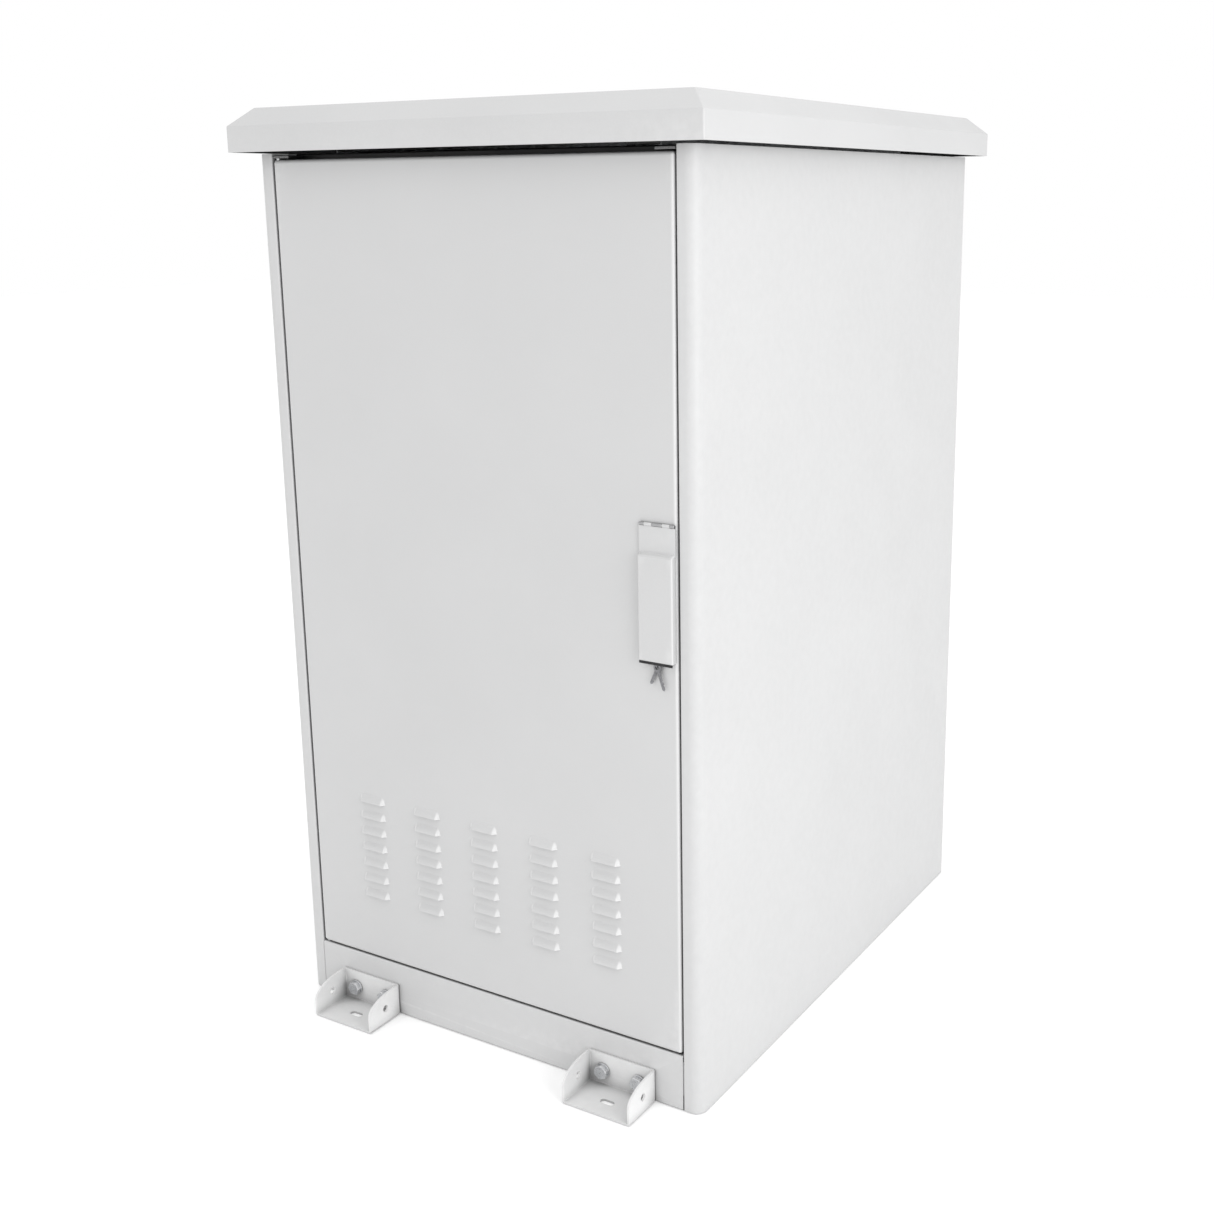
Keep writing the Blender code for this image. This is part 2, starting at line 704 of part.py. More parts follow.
def make_brackets():
    """One bracket in its own frame, with its back face at y = 0, then four placed copies."""
    block = prism_mesh("X", [ear_outline()], -BRACKET_HALF, BRACKET_HALF)
    bracket = add_part("anchor_bracket_front_left", block, PAINT)
    inner = BRACKET_HALF - BRACKET_SHEET
    well = ((-inner, -BRACKET_DEPTH - OVERCUT, BRACKET_SHEET),
            (inner, -BRACKET_SHEET, BRACKET_HEIGHT + OVERCUT))
    cut(bracket, box_mesh(well))
    ear_hole = circle(EAR_HOLE, EAR_HOLE_RADIUS, 16)
    cut(bracket, prism_mesh("X", [ear_hole], -BRACKET_HALF - OVERCUT, BRACKET_HALF + OVERCUT))
    base_slot = stadium((0.0, BASE_SLOT_Y), BASE_SLOT_ARM, BASE_SLOT_RADIUS)
    cut(bracket, prism_mesh("Z", [base_slot], -OVERCUT, BRACKET_SHEET + OVERCUT))
    bolts = [circle((side * BOLT_X, BOLT_Z), BOLT_HOLE_RADIUS) for side in (-1, 1)]
    cut(bracket, prism_mesh("Y", bolts, -BRACKET_SHEET - OVERCUT, OVERCUT))
    bake(bracket)
    place_bracket(bracket, -1, -1)
    for name, side, end in (("anchor_bracket_front_right", 1, -1), ("anchor_bracket_rear_left", -1, 1),
                            ("anchor_bracket_rear_right", 1, 1)):
        copy = add_copy(name, bracket, PAINT)
        place_bracket(copy, side, end)


def add_copy(name, original, finish):
    copy = bpy.data.objects.new(name, original.data.copy())
    bpy.data.collections[PARTS].objects.link(copy)
    add_material(copy, finish)
    return copy


def place_bracket(bracket, side, end):
    bracket.location = (side * BRACKET_X, end * (BACK + FIT), 0.0)
    bracket.rotation_euler = (0.0, 0.0, 0.0 if end < 0 else math.pi)


def make_bolt(name):
    """A hex bolt with its washer; its own Z axis points out of the head."""
    profile = [(0.0, WASHER_THICK), (WASHER_RADIUS, WASHER_THICK), (WASHER_RADIUS, 0.0),
               (BOLT_RADIUS, 0.0), (BOLT_RADIUS, -BOLT_LENGTH), (0.0, -BOLT_LENGTH)]
    bolt = turned(name, profile, False, ZINC, steps=16)
    head = [circle((0.0, 0.0), BOLT_HEAD_RADIUS, 6)]
    fuse(bolt, prism_mesh("Z", head, WASHER_THICK / 2, WASHER_THICK + BOLT_HEAD))
    bake(bolt)
    return bolt


def make_bracket_bolts():
    first = make_bolt("bracket_bolt_front_left_a")
    seat = BACK + FIT + BRACKET_SHEET + FIT
    for end_name, end in (("front", -1), ("rear", 1)):
        for side_name, side in (("left", -1), ("right", 1)):
            for letter, offset in (("a", -BOLT_X), ("b", BOLT_X)):
                name = f"bracket_bolt_{end_name}_{side_name}_{letter}"
                bolt = first if name == first.name else add_copy(name, first, ZINC)
                bolt.location = (side * BRACKET_X + offset, end * seat, BOLT_Z)
                bolt.rotation_euler = (-end * math.pi / 2, 0.0, 0.0)


# ---------------------------------------------------------------- ceiling fan

def make_fan():
    low = FAN_TOP - FAN_DEPTH
    block = ((-FAN_HALF, FAN_Y - FAN_HALF, low), (FAN_HALF, FAN_Y + FAN_HALF, FAN_TOP))
    frame = add_part("fan_frame", box_mesh(block), BLACK_PLASTIC)
    cut(frame, prism_mesh("Z", [circle((0.0, FAN_Y), FAN_BORE, 32)], low - OVERCUT, FAN_TOP + OVERCUT))
    reach = FAN_BORE + 0.001
    half = FAN_SPOKE_HALF
    for span_x, span_y in ((half, reach), (reach, half)):
        spoke = ((-span_x, FAN_Y - span_y, low), (span_x, FAN_Y + span_y, low + FAN_SPOKE_THICK))
        fuse(frame, box_mesh(spoke))
    seat = circle((0.0, FAN_Y), FAN_HUB + 0.001)
    fuse(frame, prism_mesh("Z", [seat], low + 0.0005, low + 0.004))
    make_fan_guard()
    return make_fan_rotor(low + 0.0045)


def make_fan_rotor(low):
    high = FAN_TOP - 0.003
    hub_outline = circle((0.0, FAN_Y), FAN_HUB)
    rotor = add_part("fan_rotor", prism_mesh("Z", [hub_outline], low, high), BLACK_PLASTIC)
    bm = bmesh.new()
    size = Matrix.Diagonal((*BLADE_SIZE, 1.0))
    pitch = Matrix.Rotation(BLADE_PITCH, 4, "X")
    reach = Matrix.Translation((FAN_HUB + BLADE_SIZE[0] / 2 - 0.004, 0.0, 0.0))
    hub = Matrix.Translation((0.0, FAN_Y, (low + high) / 2))
    for index in range(FAN_BLADES):
        turn = Matrix.Rotation(2 * math.pi * index / FAN_BLADES, 4, "Z")
        bmesh.ops.create_cube(bm, size=1.0, matrix=hub @ turn @ reach @ pitch @ size)
    fuse(rotor, to_mesh(bm))
    return rotor


def make_fan_guard():
    low = BODY_TOP + FIT
    holes = []
    for index in range(GUARD_SLOTS):
        x = GUARD_SLOT_PITCH * (index - (GUARD_SLOTS - 1) / 2)
        reach = math.sqrt(GUARD_REACH ** 2 - x ** 2)
        holes.append(rectangle(x - GUARD_SLOT_HALF, x + GUARD_SLOT_HALF, FAN_Y - reach, FAN_Y + reach))
    outline = rectangle(-GUARD_HALF, GUARD_HALF, FAN_Y - GUARD_HALF, FAN_Y + GUARD_HALF)
    flat_plate("fan_guard", "Z", outline, holes, low, low + GUARD_THICK, ZINC)


# ---------------------------------------------------------------- floor and rack fittings

def make_glands():
    """A clamping cap and a hex-sized collar above the floor, a lock nut and a thread below it."""
    above = FLOOR_TOP + FIT
    below = FLOOR_TOP - SHEET - FIT
    profile = [(GLAND_BORE, GLAND_TOP), (0.014, GLAND_TOP), (0.018, GLAND_NECK), (0.018, GLAND_COLLAR),
               (0.022, GLAND_COLLAR), (0.022, above), (GLAND_THREAD, above), (GLAND_THREAD, below),
               (0.021, below), (0.021, GLAND_NUT), (GLAND_THREAD, GLAND_NUT), (GLAND_THREAD, GLAND_BOTTOM),
               (GLAND_BORE, GLAND_BOTTOM)]
    for name, side in (("cable_gland_left", -1), ("cable_gland_right", 1)):
        gland = turned(name, profile, True, BLACK_PLASTIC, steps=18)
        gland.location = (side * GLAND_X, GLAND_Y, 0.0)


def make_earth_bar():
    block = ((-EARTH_HALF, EARTH_FRONT, EARTH_LOW), (EARTH_HALF, EARTH_BACK, EARTH_HIGH))
    bar = add_part("earth_bar", box_mesh(block), COPPER)
    feet = []
    for left, right in EARTH_FEET:
        low = (left, EARTH_FRONT + FIT, FLOOR_TOP + FIT)
        high = (right, EARTH_BACK - FIT, EARTH_LOW + 0.002)
        feet.append((low, high))
    fuse(bar, box_mesh(*feet))
    first_x = -EARTH_HOLE_PITCH * (EARTH_HOLES - 1) / 2
    hole_z = (EARTH_LOW + EARTH_HIGH) / 2
    centres = [(first_x + EARTH_HOLE_PITCH * index, hole_z) for index in range(EARTH_HOLES)]
    holes = [circle(centre, EARTH_HOLE_RADIUS, 12) for centre in centres]
    cut(bar, prism_mesh("Y", holes, EARTH_FRONT - OVERCUT, EARTH_BACK + OVERCUT))


def make_breaker():
    opening = rectangle(-BREAKER_HALF - FIT, BREAKER_HALF + FIT, BREAKER_LOW - FIT, BREAKER_HIGH + FIT)
    holes = [opening]
    for x in (-PANEL_SCREW_X, PANEL_SCREW_X):
        for z in (PANEL_LOW + PANEL_SCREW_INSET, PANEL_HIGH - PANEL_SCREW_INSET):
            holes.append(circle((x, z), PANEL_SCREW_RADIUS, 12))
    outline = rectangle(-PANEL_HALF, PANEL_HALF, PANEL_LOW, PANEL_HIGH)
    flat_plate("breaker_panel", "Y", outline, holes, PANEL_FRONT, PANEL_FRONT + SHEET, PAINT)
    rear = BREAKER_FRONT + BREAKER_DEPTH
    body = ((-BREAKER_HALF, BREAKER_FRONT, BREAKER_LOW), (BREAKER_HALF, rear, BREAKER_HIGH))
    breaker = add_part("dc_breaker", box_mesh(body), GREY_PLASTIC)
    well = ((-TOGGLE_WELL_HALF_X, BREAKER_FRONT - OVERCUT, TOGGLE_Z - TOGGLE_WELL_HALF_Z),
            (TOGGLE_WELL_HALF_X, TOGGLE_Y + TOGGLE_WELL_DEPTH, TOGGLE_Z + TOGGLE_WELL_HALF_Z))
    cut(breaker, box_mesh(well))


def make_toggle():
    """A hub with a paddle, drawn in (y, z) and extruded across X."""
    spread = math.asin(TOGGLE_HALF_THICK / TOGGLE_HUB)
    points = []
    for index in range(TOGGLE_HUB_STEPS + 1):
        angle = math.pi - TOGGLE_REST + spread + 2 * (math.pi - spread) * index / TOGGLE_HUB_STEPS
        points.append((TOGGLE_Y + TOGGLE_HUB * math.cos(angle), TOGGLE_Z + TOGGLE_HUB * math.sin(angle)))
    outward = Vector((-math.cos(TOGGLE_REST), math.sin(TOGGLE_REST)))
    across = Vector((-outward.y, outward.x))
    for sign in (-1, 1):
        tip = Vector((TOGGLE_Y, TOGGLE_Z)) + TOGGLE_REACH * outward + sign * TOGGLE_HALF_THICK * across
        points.append((tip.x, tip.y))
    half = TOGGLE_HALF_WIDTH
    return flat_plate("breaker_toggle", "X", points, [], -half, half, BLACK_PLASTIC)


# ---------------------------------------------------------------- door

def rod_opening(x, gap):
    """A slot in plan that clears a rod by the gap all round."""
    half = ROD_HALF + gap
    return rectangle(x - half, x + half, ROD_FRONT - gap, ROD_FRONT + ROD_THICK + gap)


def louvre_blocks(half, height, front, inset, drop):
    """Tapered blocks over every louvre; drop lowers their bottom faces."""
    bm = bmesh.new()
    rear = FRONT + SHEET / 2 if drop == 0.0 else FRONT + 2 * SHEET
    for column in range(LOUVRE_COLUMNS):
        x = LOUVRE_PITCH_X * (column - (LOUVRE_COLUMNS - 1) / 2)
        for row in range(LOUVRE_ROWS):
            z = LOUVRE_LOWEST + LOUVRE_PITCH_Z * row
            size = Matrix.Diagonal((2 * half, rear - front, height + drop, 1.0))
            middle = Matrix.Translation((x, (front + rear) / 2, z + (height - drop) / 2))
            block = bmesh.ops.create_cube(bm, size=1.0, matrix=middle @ size)
            for vert in block["verts"]:
                if vert.co.y < FRONT - 0.001:
                    vert.co.x += inset if vert.co.x < x else -inset
                    if vert.co.z > z + height / 2:
                        vert.co.z = z + height * LOUVRE_FACE
    return to_mesh(bm)


def make_door_panel():
    """A deep pan with returned edges, pressed louvres, and holes for the lock, rods and pivots."""
    shell = ((-DOOR_HALF, FRONT, DOOR_BOTTOM), (DOOR_HALF, DOOR_BACK, DOOR_TOP))
    edge = DOOR_HALF - SHEET
    hollow = ((-edge, SKIN_BACK, DOOR_BOTTOM + SHEET), (edge, DOOR_BACK - SHEET, DOOR_TOP - SHEET))
    lip = DOOR_HALF - DOOR_RETURN
    mouth = ((-lip, DOOR_BACK - 2 * SHEET, DOOR_BOTTOM + DOOR_RETURN),
             (lip, DOOR_BACK + OVERCUT, DOOR_TOP - DOOR_RETURN))
    door = add_part("door_panel", box_mesh(shell), PAINT)
    cut(door, box_mesh(hollow), box_mesh(mouth))
    press_louvres(door)
    lock_hole = circle((LOCK_X, LOCK_Z), BARREL_RADIUS + FIT)
    cut(door, prism_mesh("Y", [lock_hole], FRONT - OVERCUT, FRONT + OVERCUT))
    pivot_hole = circle((PIVOT_X, PIVOT_Y), PIVOT_RADIUS + FIT)
    for flange_z, side in ((DOOR_TOP, 1), (DOOR_BOTTOM, -1)):
        rod_slot = rod_opening(LOCK_X + side * ROD_OFFSET, DOOR_SLOT_GAP)
        cut(door, prism_mesh("Z", [pivot_hole, rod_slot], flange_z - OVERCUT, flange_z + OVERCUT))
    return door


def press_louvres(door):
    fuse(door, louvre_blocks(LOUVRE_HALF, LOUVRE_HEIGHT, FRONT - LOUVRE_PROUD, LOUVRE_TAPER, 0.0))
    half = LOUVRE_HALF - LOUVRE_WALL
    height = LOUVRE_HEIGHT - LOUVRE_WALL
    cut(door, louvre_blocks(half, height, FRONT - LOUVRE_PROUD + LOUVRE_WALL, LOUVRE_TAPER, 0.001))


def make_door_stiffener():
    front = SKIN_BACK + FIT
    left = [(-STIFFENER_FOOT, front), (-STIFFENER_WEB, front), (-STIFFENER_CROWN, front + STIFFENER_DEPTH)]
    right = [(-x, y) for x, y in reversed(left)]
    return folded_sheet("door_stiffener", "Z", left + right, STIFFENER_LOW, STIFFENER_HIGH,
                        STIFFENER_SHEET, PAINT)


def make_door_gasket():
    front = DOOR_BACK + FIT
    rear = LANDING_Y - 0.0005
    half = DOOR_HALF - SEAL_INSET
    low = DOOR_BOTTOM + SEAL_INSET
    high = DOOR_TOP - SEAL_INSET
    gasket = add_part("door_gasket", box_mesh(((-half, front, low), (half, rear, high))), RUBBER)
    inner = half - SEAL_WIDTH
    opening = ((-inner, front - OVERCUT, low + SEAL_WIDTH), (inner, rear + OVERCUT, high - SEAL_WIDTH))
    cut(gasket, box_mesh(opening))
    return gasket


def make_filter():
    """A foam pad in a shallow frame behind the louvres."""
    front = SKIN_BACK + FIT
    seat = front + FILTER_LIP_THICK
    frame = add_part("filter_frame", filter_block(0.0, front, front + FILTER_DEPTH), BLACK_PLASTIC)
    cut(frame, filter_block(FILTER_WALL, seat, front + FILTER_DEPTH + OVERCUT))
    cut(frame, filter_block(FILTER_LIP, front - OVERCUT, front + OVERCUT))
    foam = filter_block(FILTER_WALL + FIT, seat + FIT, seat + FIT + FILTER_PAD)
    pad = add_part("dust_filter", foam, FOAM)
    return [frame, pad]


def filter_block(inset, front, rear):
    half = FILTER_HALF - inset
    return box_mesh(((-half, front, FILTER_LOW + inset), (half, rear, FILTER_HIGH - inset)))


def make_pivots():
    """The fixed lower pivot on its bracket, and the door's own upper pin."""
    low = PLINTH_TOP - SHEET - FIT - PIVOT_PLATE
    plate = ((-PLINTH_HALF + FIT, SKIN_BACK + FIT, low),
             (PIVOT_PLATE_END, LANDING_Y - 0.002, low + PIVOT_PLATE))
    bracket = add_part("lower_pivot_bracket", box_mesh(plate), ZINC)
    pin = circle((PIVOT_X, PIVOT_Y), PIVOT_RADIUS)
    fuse(bracket, prism_mesh("Z", [pin], low + PIVOT_PLATE / 3, DOOR_BOTTOM + LOWER_PIVOT_REACH))
    upper_pin = prism_mesh("Z", [pin], DOOR_TOP - UPPER_PIVOT_REACH, LUG_HIGH - FIT)
    return add_part("upper_pivot_pin", upper_pin, ZINC)


# ---------------------------------------------------------------- lock

def make_lock_housing():
    bore = ROTOR_RADIUS + FIT
    profile = [(bore, BEZEL_PROUD), (BEZEL_FACE_RADIUS, BEZEL_PROUD), (BEZEL_RADIUS, BEZEL_EDGE),
               (BEZEL_RADIUS, FIT), (BARREL_RADIUS, FIT), (BARREL_RADIUS, -BARREL_DEPTH), (bore, -BARREL_DEPTH)]
    housing = turned("lock_housing", profile, True, ZINC)
    face_front(housing, LOCK_X, FRONT, LOCK_Z)
    return housing


def make_lock_rotor():
    """The plug that takes the key, with the stem that carries the cam."""
    profile = [(0.0, ROTOR_PROUD), (ROTOR_RADIUS, ROTOR_PROUD), (ROTOR_RADIUS, -ROTOR_DEPTH),
               (STEM_RADIUS, -ROTOR_DEPTH), (STEM_RADIUS, -STEM_DEPTH), (0.0, -STEM_DEPTH)]
    rotor = turned("lock_rotor", profile, False, ZINC)
    face_front(rotor, LOCK_X, FRONT, LOCK_Z)
    keyway = ((LOCK_X - KEYWAY_HALF_X, FRONT - 0.006, LOCK_Z - KEYWAY_HALF_Z),
              (LOCK_X + KEYWAY_HALF_X, FRONT - 0.001, LOCK_Z + KEYWAY_HALF_Z))
    cut(rotor, box_mesh(keyway))
    return rotor


def cam_pin(turn):
    """The (x, z) of the cam pin that drives the upper rod, or after a half turn the lower rod."""
    angle = CAM_REST + turn
    return (LOCK_X + CAM_PIN_ARM * math.cos(angle), LOCK_Z + CAM_PIN_ARM * math.sin(angle))


def make_rod_cam():
    outline = stadium((LOCK_X, LOCK_Z), CAM_PIN_ARM, CAM_END_RADIUS, CAM_REST)
    cam = add_part("rod_cam", prism_mesh("Y", [outline], CAM_FRONT, CAM_FRONT + CAM_THICK), ZINC)
    pins = [circle(cam_pin(turn), CAM_PIN_RADIUS, 16) for turn in (0.0, math.pi)]
    fuse(cam, prism_mesh("Y", pins, ROD_FRONT - 0.0007, CAM_FRONT + 0.001))
    stem_hole = circle((LOCK_X, LOCK_Z), STEM_RADIUS + FIT)
    cut(cam, prism_mesh("Y", [stem_hole], CAM_FRONT - OVERCUT, CAM_FRONT + CAM_THICK + OVERCUT))
    return cam


def make_rods():
    """Each rod ends in a yoke whose slot the cam's pin slides across."""
    rods = []
    for name, side, end, turn in (("upper_rod", 1, ROD_TOP, 0.0), ("lower_rod", -1, ROD_BOTTOM, math.pi)):
        x = LOCK_X + side * ROD_OFFSET
        z = cam_pin(turn)[1]
        near = z - side * YOKE_HALF_HEIGHT
        shoulder = z + side * YOKE_HALF_HEIGHT
        right = [(YOKE_HALF, near), (YOKE_HALF, shoulder), (ROD_HALF, shoulder), (ROD_HALF, end)]
        left = [(-offset, height) for offset, height in reversed(right)]
        outline = [(x + offset, height) for offset, height in right + left]
        slot = rectangle(x - YOKE_SLOT_HALF_X, x + YOKE_SLOT_HALF_X,
                         z - YOKE_SLOT_HALF_Z, z + YOKE_SLOT_HALF_Z)
        rods.append(flat_plate(name, "Y", outline, [slot], ROD_FRONT, ROD_FRONT + ROD_THICK, ZINC))
    return rods


def make_rod_guides():
    guides = []
    rear = ROD_FRONT + ROD_THICK + GUIDE_COVER
    for name, side, low in (("rod_guide_upper", 1, UPPER_GUIDE_Z), ("rod_guide_lower", -1, LOWER_GUIDE_Z)):
        x = LOCK_X + side * ROD_OFFSET
        high = low + GUIDE_HEIGHT
        block = ((x - GUIDE_HALF, SKIN_BACK + FIT, low), (x + GUIDE_HALF, rear, high))
        guide = add_part(name, box_mesh(block), BLACK_PLASTIC)
        cut(guide, prism_mesh("Z", [rod_opening(x, GUIDE_GAP)], low - OVERCUT, high + OVERCUT))
        guides.append(guide)
    return guides


# ---------------------------------------------------------------- lock flap

def make_lock_flap():
    shell = lock_box(FLAP_HALF, (FLAP_FRONT, FLAP_REAR), (FLAP_LOW, FLAP_SHOULDER))
    flap = add_part("lock_flap", shell, PAINT)
    leaf_rear = FLAP_LEAF_FRONT + FLAP_SHEET
    leaf_z = (FLAP_SHOULDER - 0.004, FLAP_LEAF_TOP)
    fuse(flap, lock_box(FLAP_LEAF_HALF, (FLAP_LEAF_FRONT, leaf_rear), leaf_z))
    inner_front = FLAP_FRONT + FLAP_SHEET
    inner_z = (FLAP_LOW + FLAP_SHEET, FLAP_SHOULDER - FLAP_SHEET)
    cut(flap, lock_box(FLAP_HALF - FLAP_SHEET, (inner_front, FRONT + OVERCUT), inner_z))
    cut(flap, lock_box(NOTCH_HALF, (inner_front, FRONT + OVERCUT), (FLAP_LOW - OVERCUT, FLAP_LOW + 0.003)))
    for start, end in FLAP_KNUCKLES:
        tab = ((LOCK_X + start, FLAP_LEAF_FRONT + 0.0001, FLAP_LEAF_TOP - 0.001),
               (LOCK_X + end, leaf_rear - 0.0001, FLAP_HINGE_Z - 0.0008))
        fuse(flap, box_mesh(tab), hinge_rod(KNUCKLE_RADIUS, start, end))
    cut(flap, hinge_rod(FLAP_PIN_RADIUS + FIT, -FLAP_LEAF_HALF - OVERCUT, FLAP_LEAF_HALF + OVERCUT))
    return flap


def lock_box(half, span_y, span_z):
    """A box centred on the lock's x, between the given y and z values."""
    return box_mesh(((LOCK_X - half, span_y[0], span_z[0]), (LOCK_X + half, span_y[1], span_z[1])))


def hinge_rod(radius, start, end):
    """A rod on the flap's hinge line; start and end are measured from the lock's x."""
    outline = circle((FLAP_HINGE_Y, FLAP_HINGE_Z), radius, 16)
    return prism_mesh("X", [outline], LOCK_X + start, LOCK_X + end)


def make_flap_hinge():
    """The leaf on the door behind the flap, its knuckles, and the pin through both sets."""
    rear = FRONT - FIT
    leaf = lock_box(HINGE_LEAF_HALF, (rear - HINGE_LEAF_SHEET, rear), (HINGE_LEAF_LOW, FLAP_LEAF_TOP))
    hinge = add_part("flap_hinge", leaf, ZINC)
    web_half = HINGE_LEAF_HALF - 0.0005
    for start, end in DOOR_KNUCKLES:
        web = ((LOCK_X + max(start, -web_half), rear - HINGE_LEAF_SHEET + 0.0001, FLAP_LEAF_TOP - 0.001),
               (LOCK_X + min(end, web_half), rear - 0.0001, FLAP_HINGE_Z))
        fuse(hinge, box_mesh(web), hinge_rod(KNUCKLE_RADIUS, start, end))
    fuse(hinge, hinge_rod(FLAP_PIN_RADIUS, -FLAP_PIN_HALF, FLAP_PIN_HALF))
    return hinge


# ---------------------------------------------------------------- keys

def make_key_staple():
    """A small stepped strip: a foot on the door and a tab in front with the loop's hole."""
    foot_rear = FRONT - FIT
    foot_front = foot_rear - STAPLE_SHEET
    tab_front = LOOP_Y - STAPLE_SHEET / 2
    tab_rear = LOOP_Y + STAPLE_SHEET / 2
    foot_low = STAPLE_STEP - STAPLE_SHEET
    outline = [(foot_rear, STAPLE_TOP), (foot_front, STAPLE_TOP), (foot_front, STAPLE_STEP),
               (tab_front, STAPLE_STEP), (tab_front, STAPLE_LOW), (tab_rear, STAPLE_LOW),
               (tab_rear, foot_low), (foot_rear, foot_low)]
    strip = prism_mesh("X", [outline], LOCK_X - STAPLE_HALF, LOCK_X + STAPLE_HALF)
    staple = add_part("key_staple", strip, ZINC)
    hole = circle((LOCK_X, STAPLE_Z), STAPLE_HOLE, 16)
    cut(staple, prism_mesh("Y", [hole], tab_front - FIT, tab_rear + FIT))
    return staple


def make_key_loop():
    """A narrow wire loop in the (y, z) plane."""
    curve = bpy.data.curves.new("key_loop", "CURVE")
    curve.dimensions = "3D"
    curve.bevel_depth = WIRE_RADIUS
    curve.bevel_resolution = 2
    middle = (STAPLE_Z + LOOP_LOW) / 2
    arm = (STAPLE_Z - LOOP_LOW) / 2 - LOOP_BEND
    points = stadium((LOOP_Y, middle), arm, LOOP_BEND, tilt=math.pi / 2, count=6)
    spline = curve.splines.new("POLY")
    spline.points.add(len(points) - 1)
    for target, (y, z) in zip(spline.points, points):
        target.co = (LOCK_X, y, z, 1.0)
    spline.use_cyclic_u = True
    return add_part("key_loop", curve, DARK_STEEL)


def key_outline(length, lean):
    """A round bow and a narrow blade with two bites, leaning by an angle about the key's eye."""
    start = math.asin(KEY_NECK / KEY_BOW_RADIUS)
    points = []
    for index in range(17):
        angle = -math.pi / 2 + start + (2 * math.pi - 2 * start) * index / 16
        points.append((KEY_BOW_RADIUS * math.cos(angle), KEY_BOW_RADIUS * math.sin(angle)))
    blade = [(-KEY_NECK, 0.002), (0.0, 0.0), (KEY_NECK, 0.002), (KEY_NECK, 0.005), (KEY_BITE, 0.0065),
             (KEY_NECK, 0.008), (KEY_NECK, 0.010), (KEY_BITE, 0.0115), (KEY_NECK, 0.013)]
    points += [(u, height - length) for u, height in blade]
    cos, sin = math.cos(lean), math.sin(lean)
    return [(LOCK_X + u * cos - v * sin, KEY_EYE_Z + u * sin + v * cos) for u, v in points]


def make_keys():
    eye = circle((LOCK_X, KEY_EYE_Z), KEY_HOLE_RADIUS, 16)
    pieces = [make_key_loop()]
    for name, length, lean, gap in KEYS:
        low = LOOP_Y + gap
        outline = key_outline(length, lean)
        pieces.append(flat_plate(name, "Y", outline, [eye], low, low + KEY_THICK, DARK_STEEL))
    return pieces


# ---------------------------------------------------------------- assembly

def make_cabinet():
    make_floor_tray()
    make_side_panels()
    make_back_panel()
    make_ceiling_plate()
    make_lintel()
    make_sill()
    make_plinth()
    make_posts()
    make_shelves()
    make_canopy()
    make_rails()
    make_brackets()
    make_bracket_bolts()
    make_glands()
    make_earth_bar()
    make_breaker()
    rotor = make_fan()
    hang("fan_axis", (0.0, FAN_Y, FAN_TOP), [rotor])
    hang("toggle_axis", (0.0, TOGGLE_Y, TOGGLE_Z), [make_toggle()])


def make_door():
    upper_pin = make_pivots()
    fixed = [make_door_panel(), make_door_stiffener(), make_door_gasket(), *make_filter(), upper_pin,
             make_lock_housing(), *make_rod_guides(), make_key_staple(), make_flap_hinge()]
    door_axis = hang("door_axis", (PIVOT_X, PIVOT_Y, DOOR_BOTTOM), fixed)
    hang("flap_axis", (LOCK_X, FLAP_HINGE_Y, FLAP_HINGE_Z), [make_lock_flap()], door_axis)
    hang("lock_axis", (LOCK_X, FRONT, LOCK_Z), [make_lock_rotor(), make_rod_cam()], door_axis)
    upper_rod, lower_rod = make_rods()
    hang("upper_rod_slide", (LOCK_X + ROD_OFFSET, ROD_FRONT, LOCK_Z), [upper_rod], door_axis)
    hang("lower_rod_slide", (LOCK_X - ROD_OFFSET, ROD_FRONT, LOCK_Z), [lower_rod], door_axis)
    hang("key_axis", (LOCK_X, LOOP_Y, STAPLE_Z), make_keys(), door_axis)


def shade_round_pieces():
    names = ("lock_housing", "lock_rotor", "upper_pivot_pin", "lower_pivot_bracket", "fan_rotor",
             "fan_frame", "cable_gland_left", "cable_gland_right", "left_side_panel", "right_side_panel")
    for obj in bpy.data.collections[PARTS].objects:
        if obj.name in names or obj.name.startswith(("bracket_bolt", "anchor_bracket")):
            shade_round(obj)


def main():
    clear_scene()
    new_collection(PARTS)
    new_collection(CUTTERS)
    make_cabinet()
    make_door()
    shade_round_pieces()


main()
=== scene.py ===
"""The outdoor battery cabinet's looks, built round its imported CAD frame.

Each sheet part is a folded sheet with real bend radii, and each fitting has its own rounded edges.
Metres, in the frame's own axes: +Z up, +Y towards the back.
"""

import json
from math import asin, copysign, cos, hypot, pi, radians, sin, tan

import bmesh
import bpy
from mathutils import Matrix, Vector

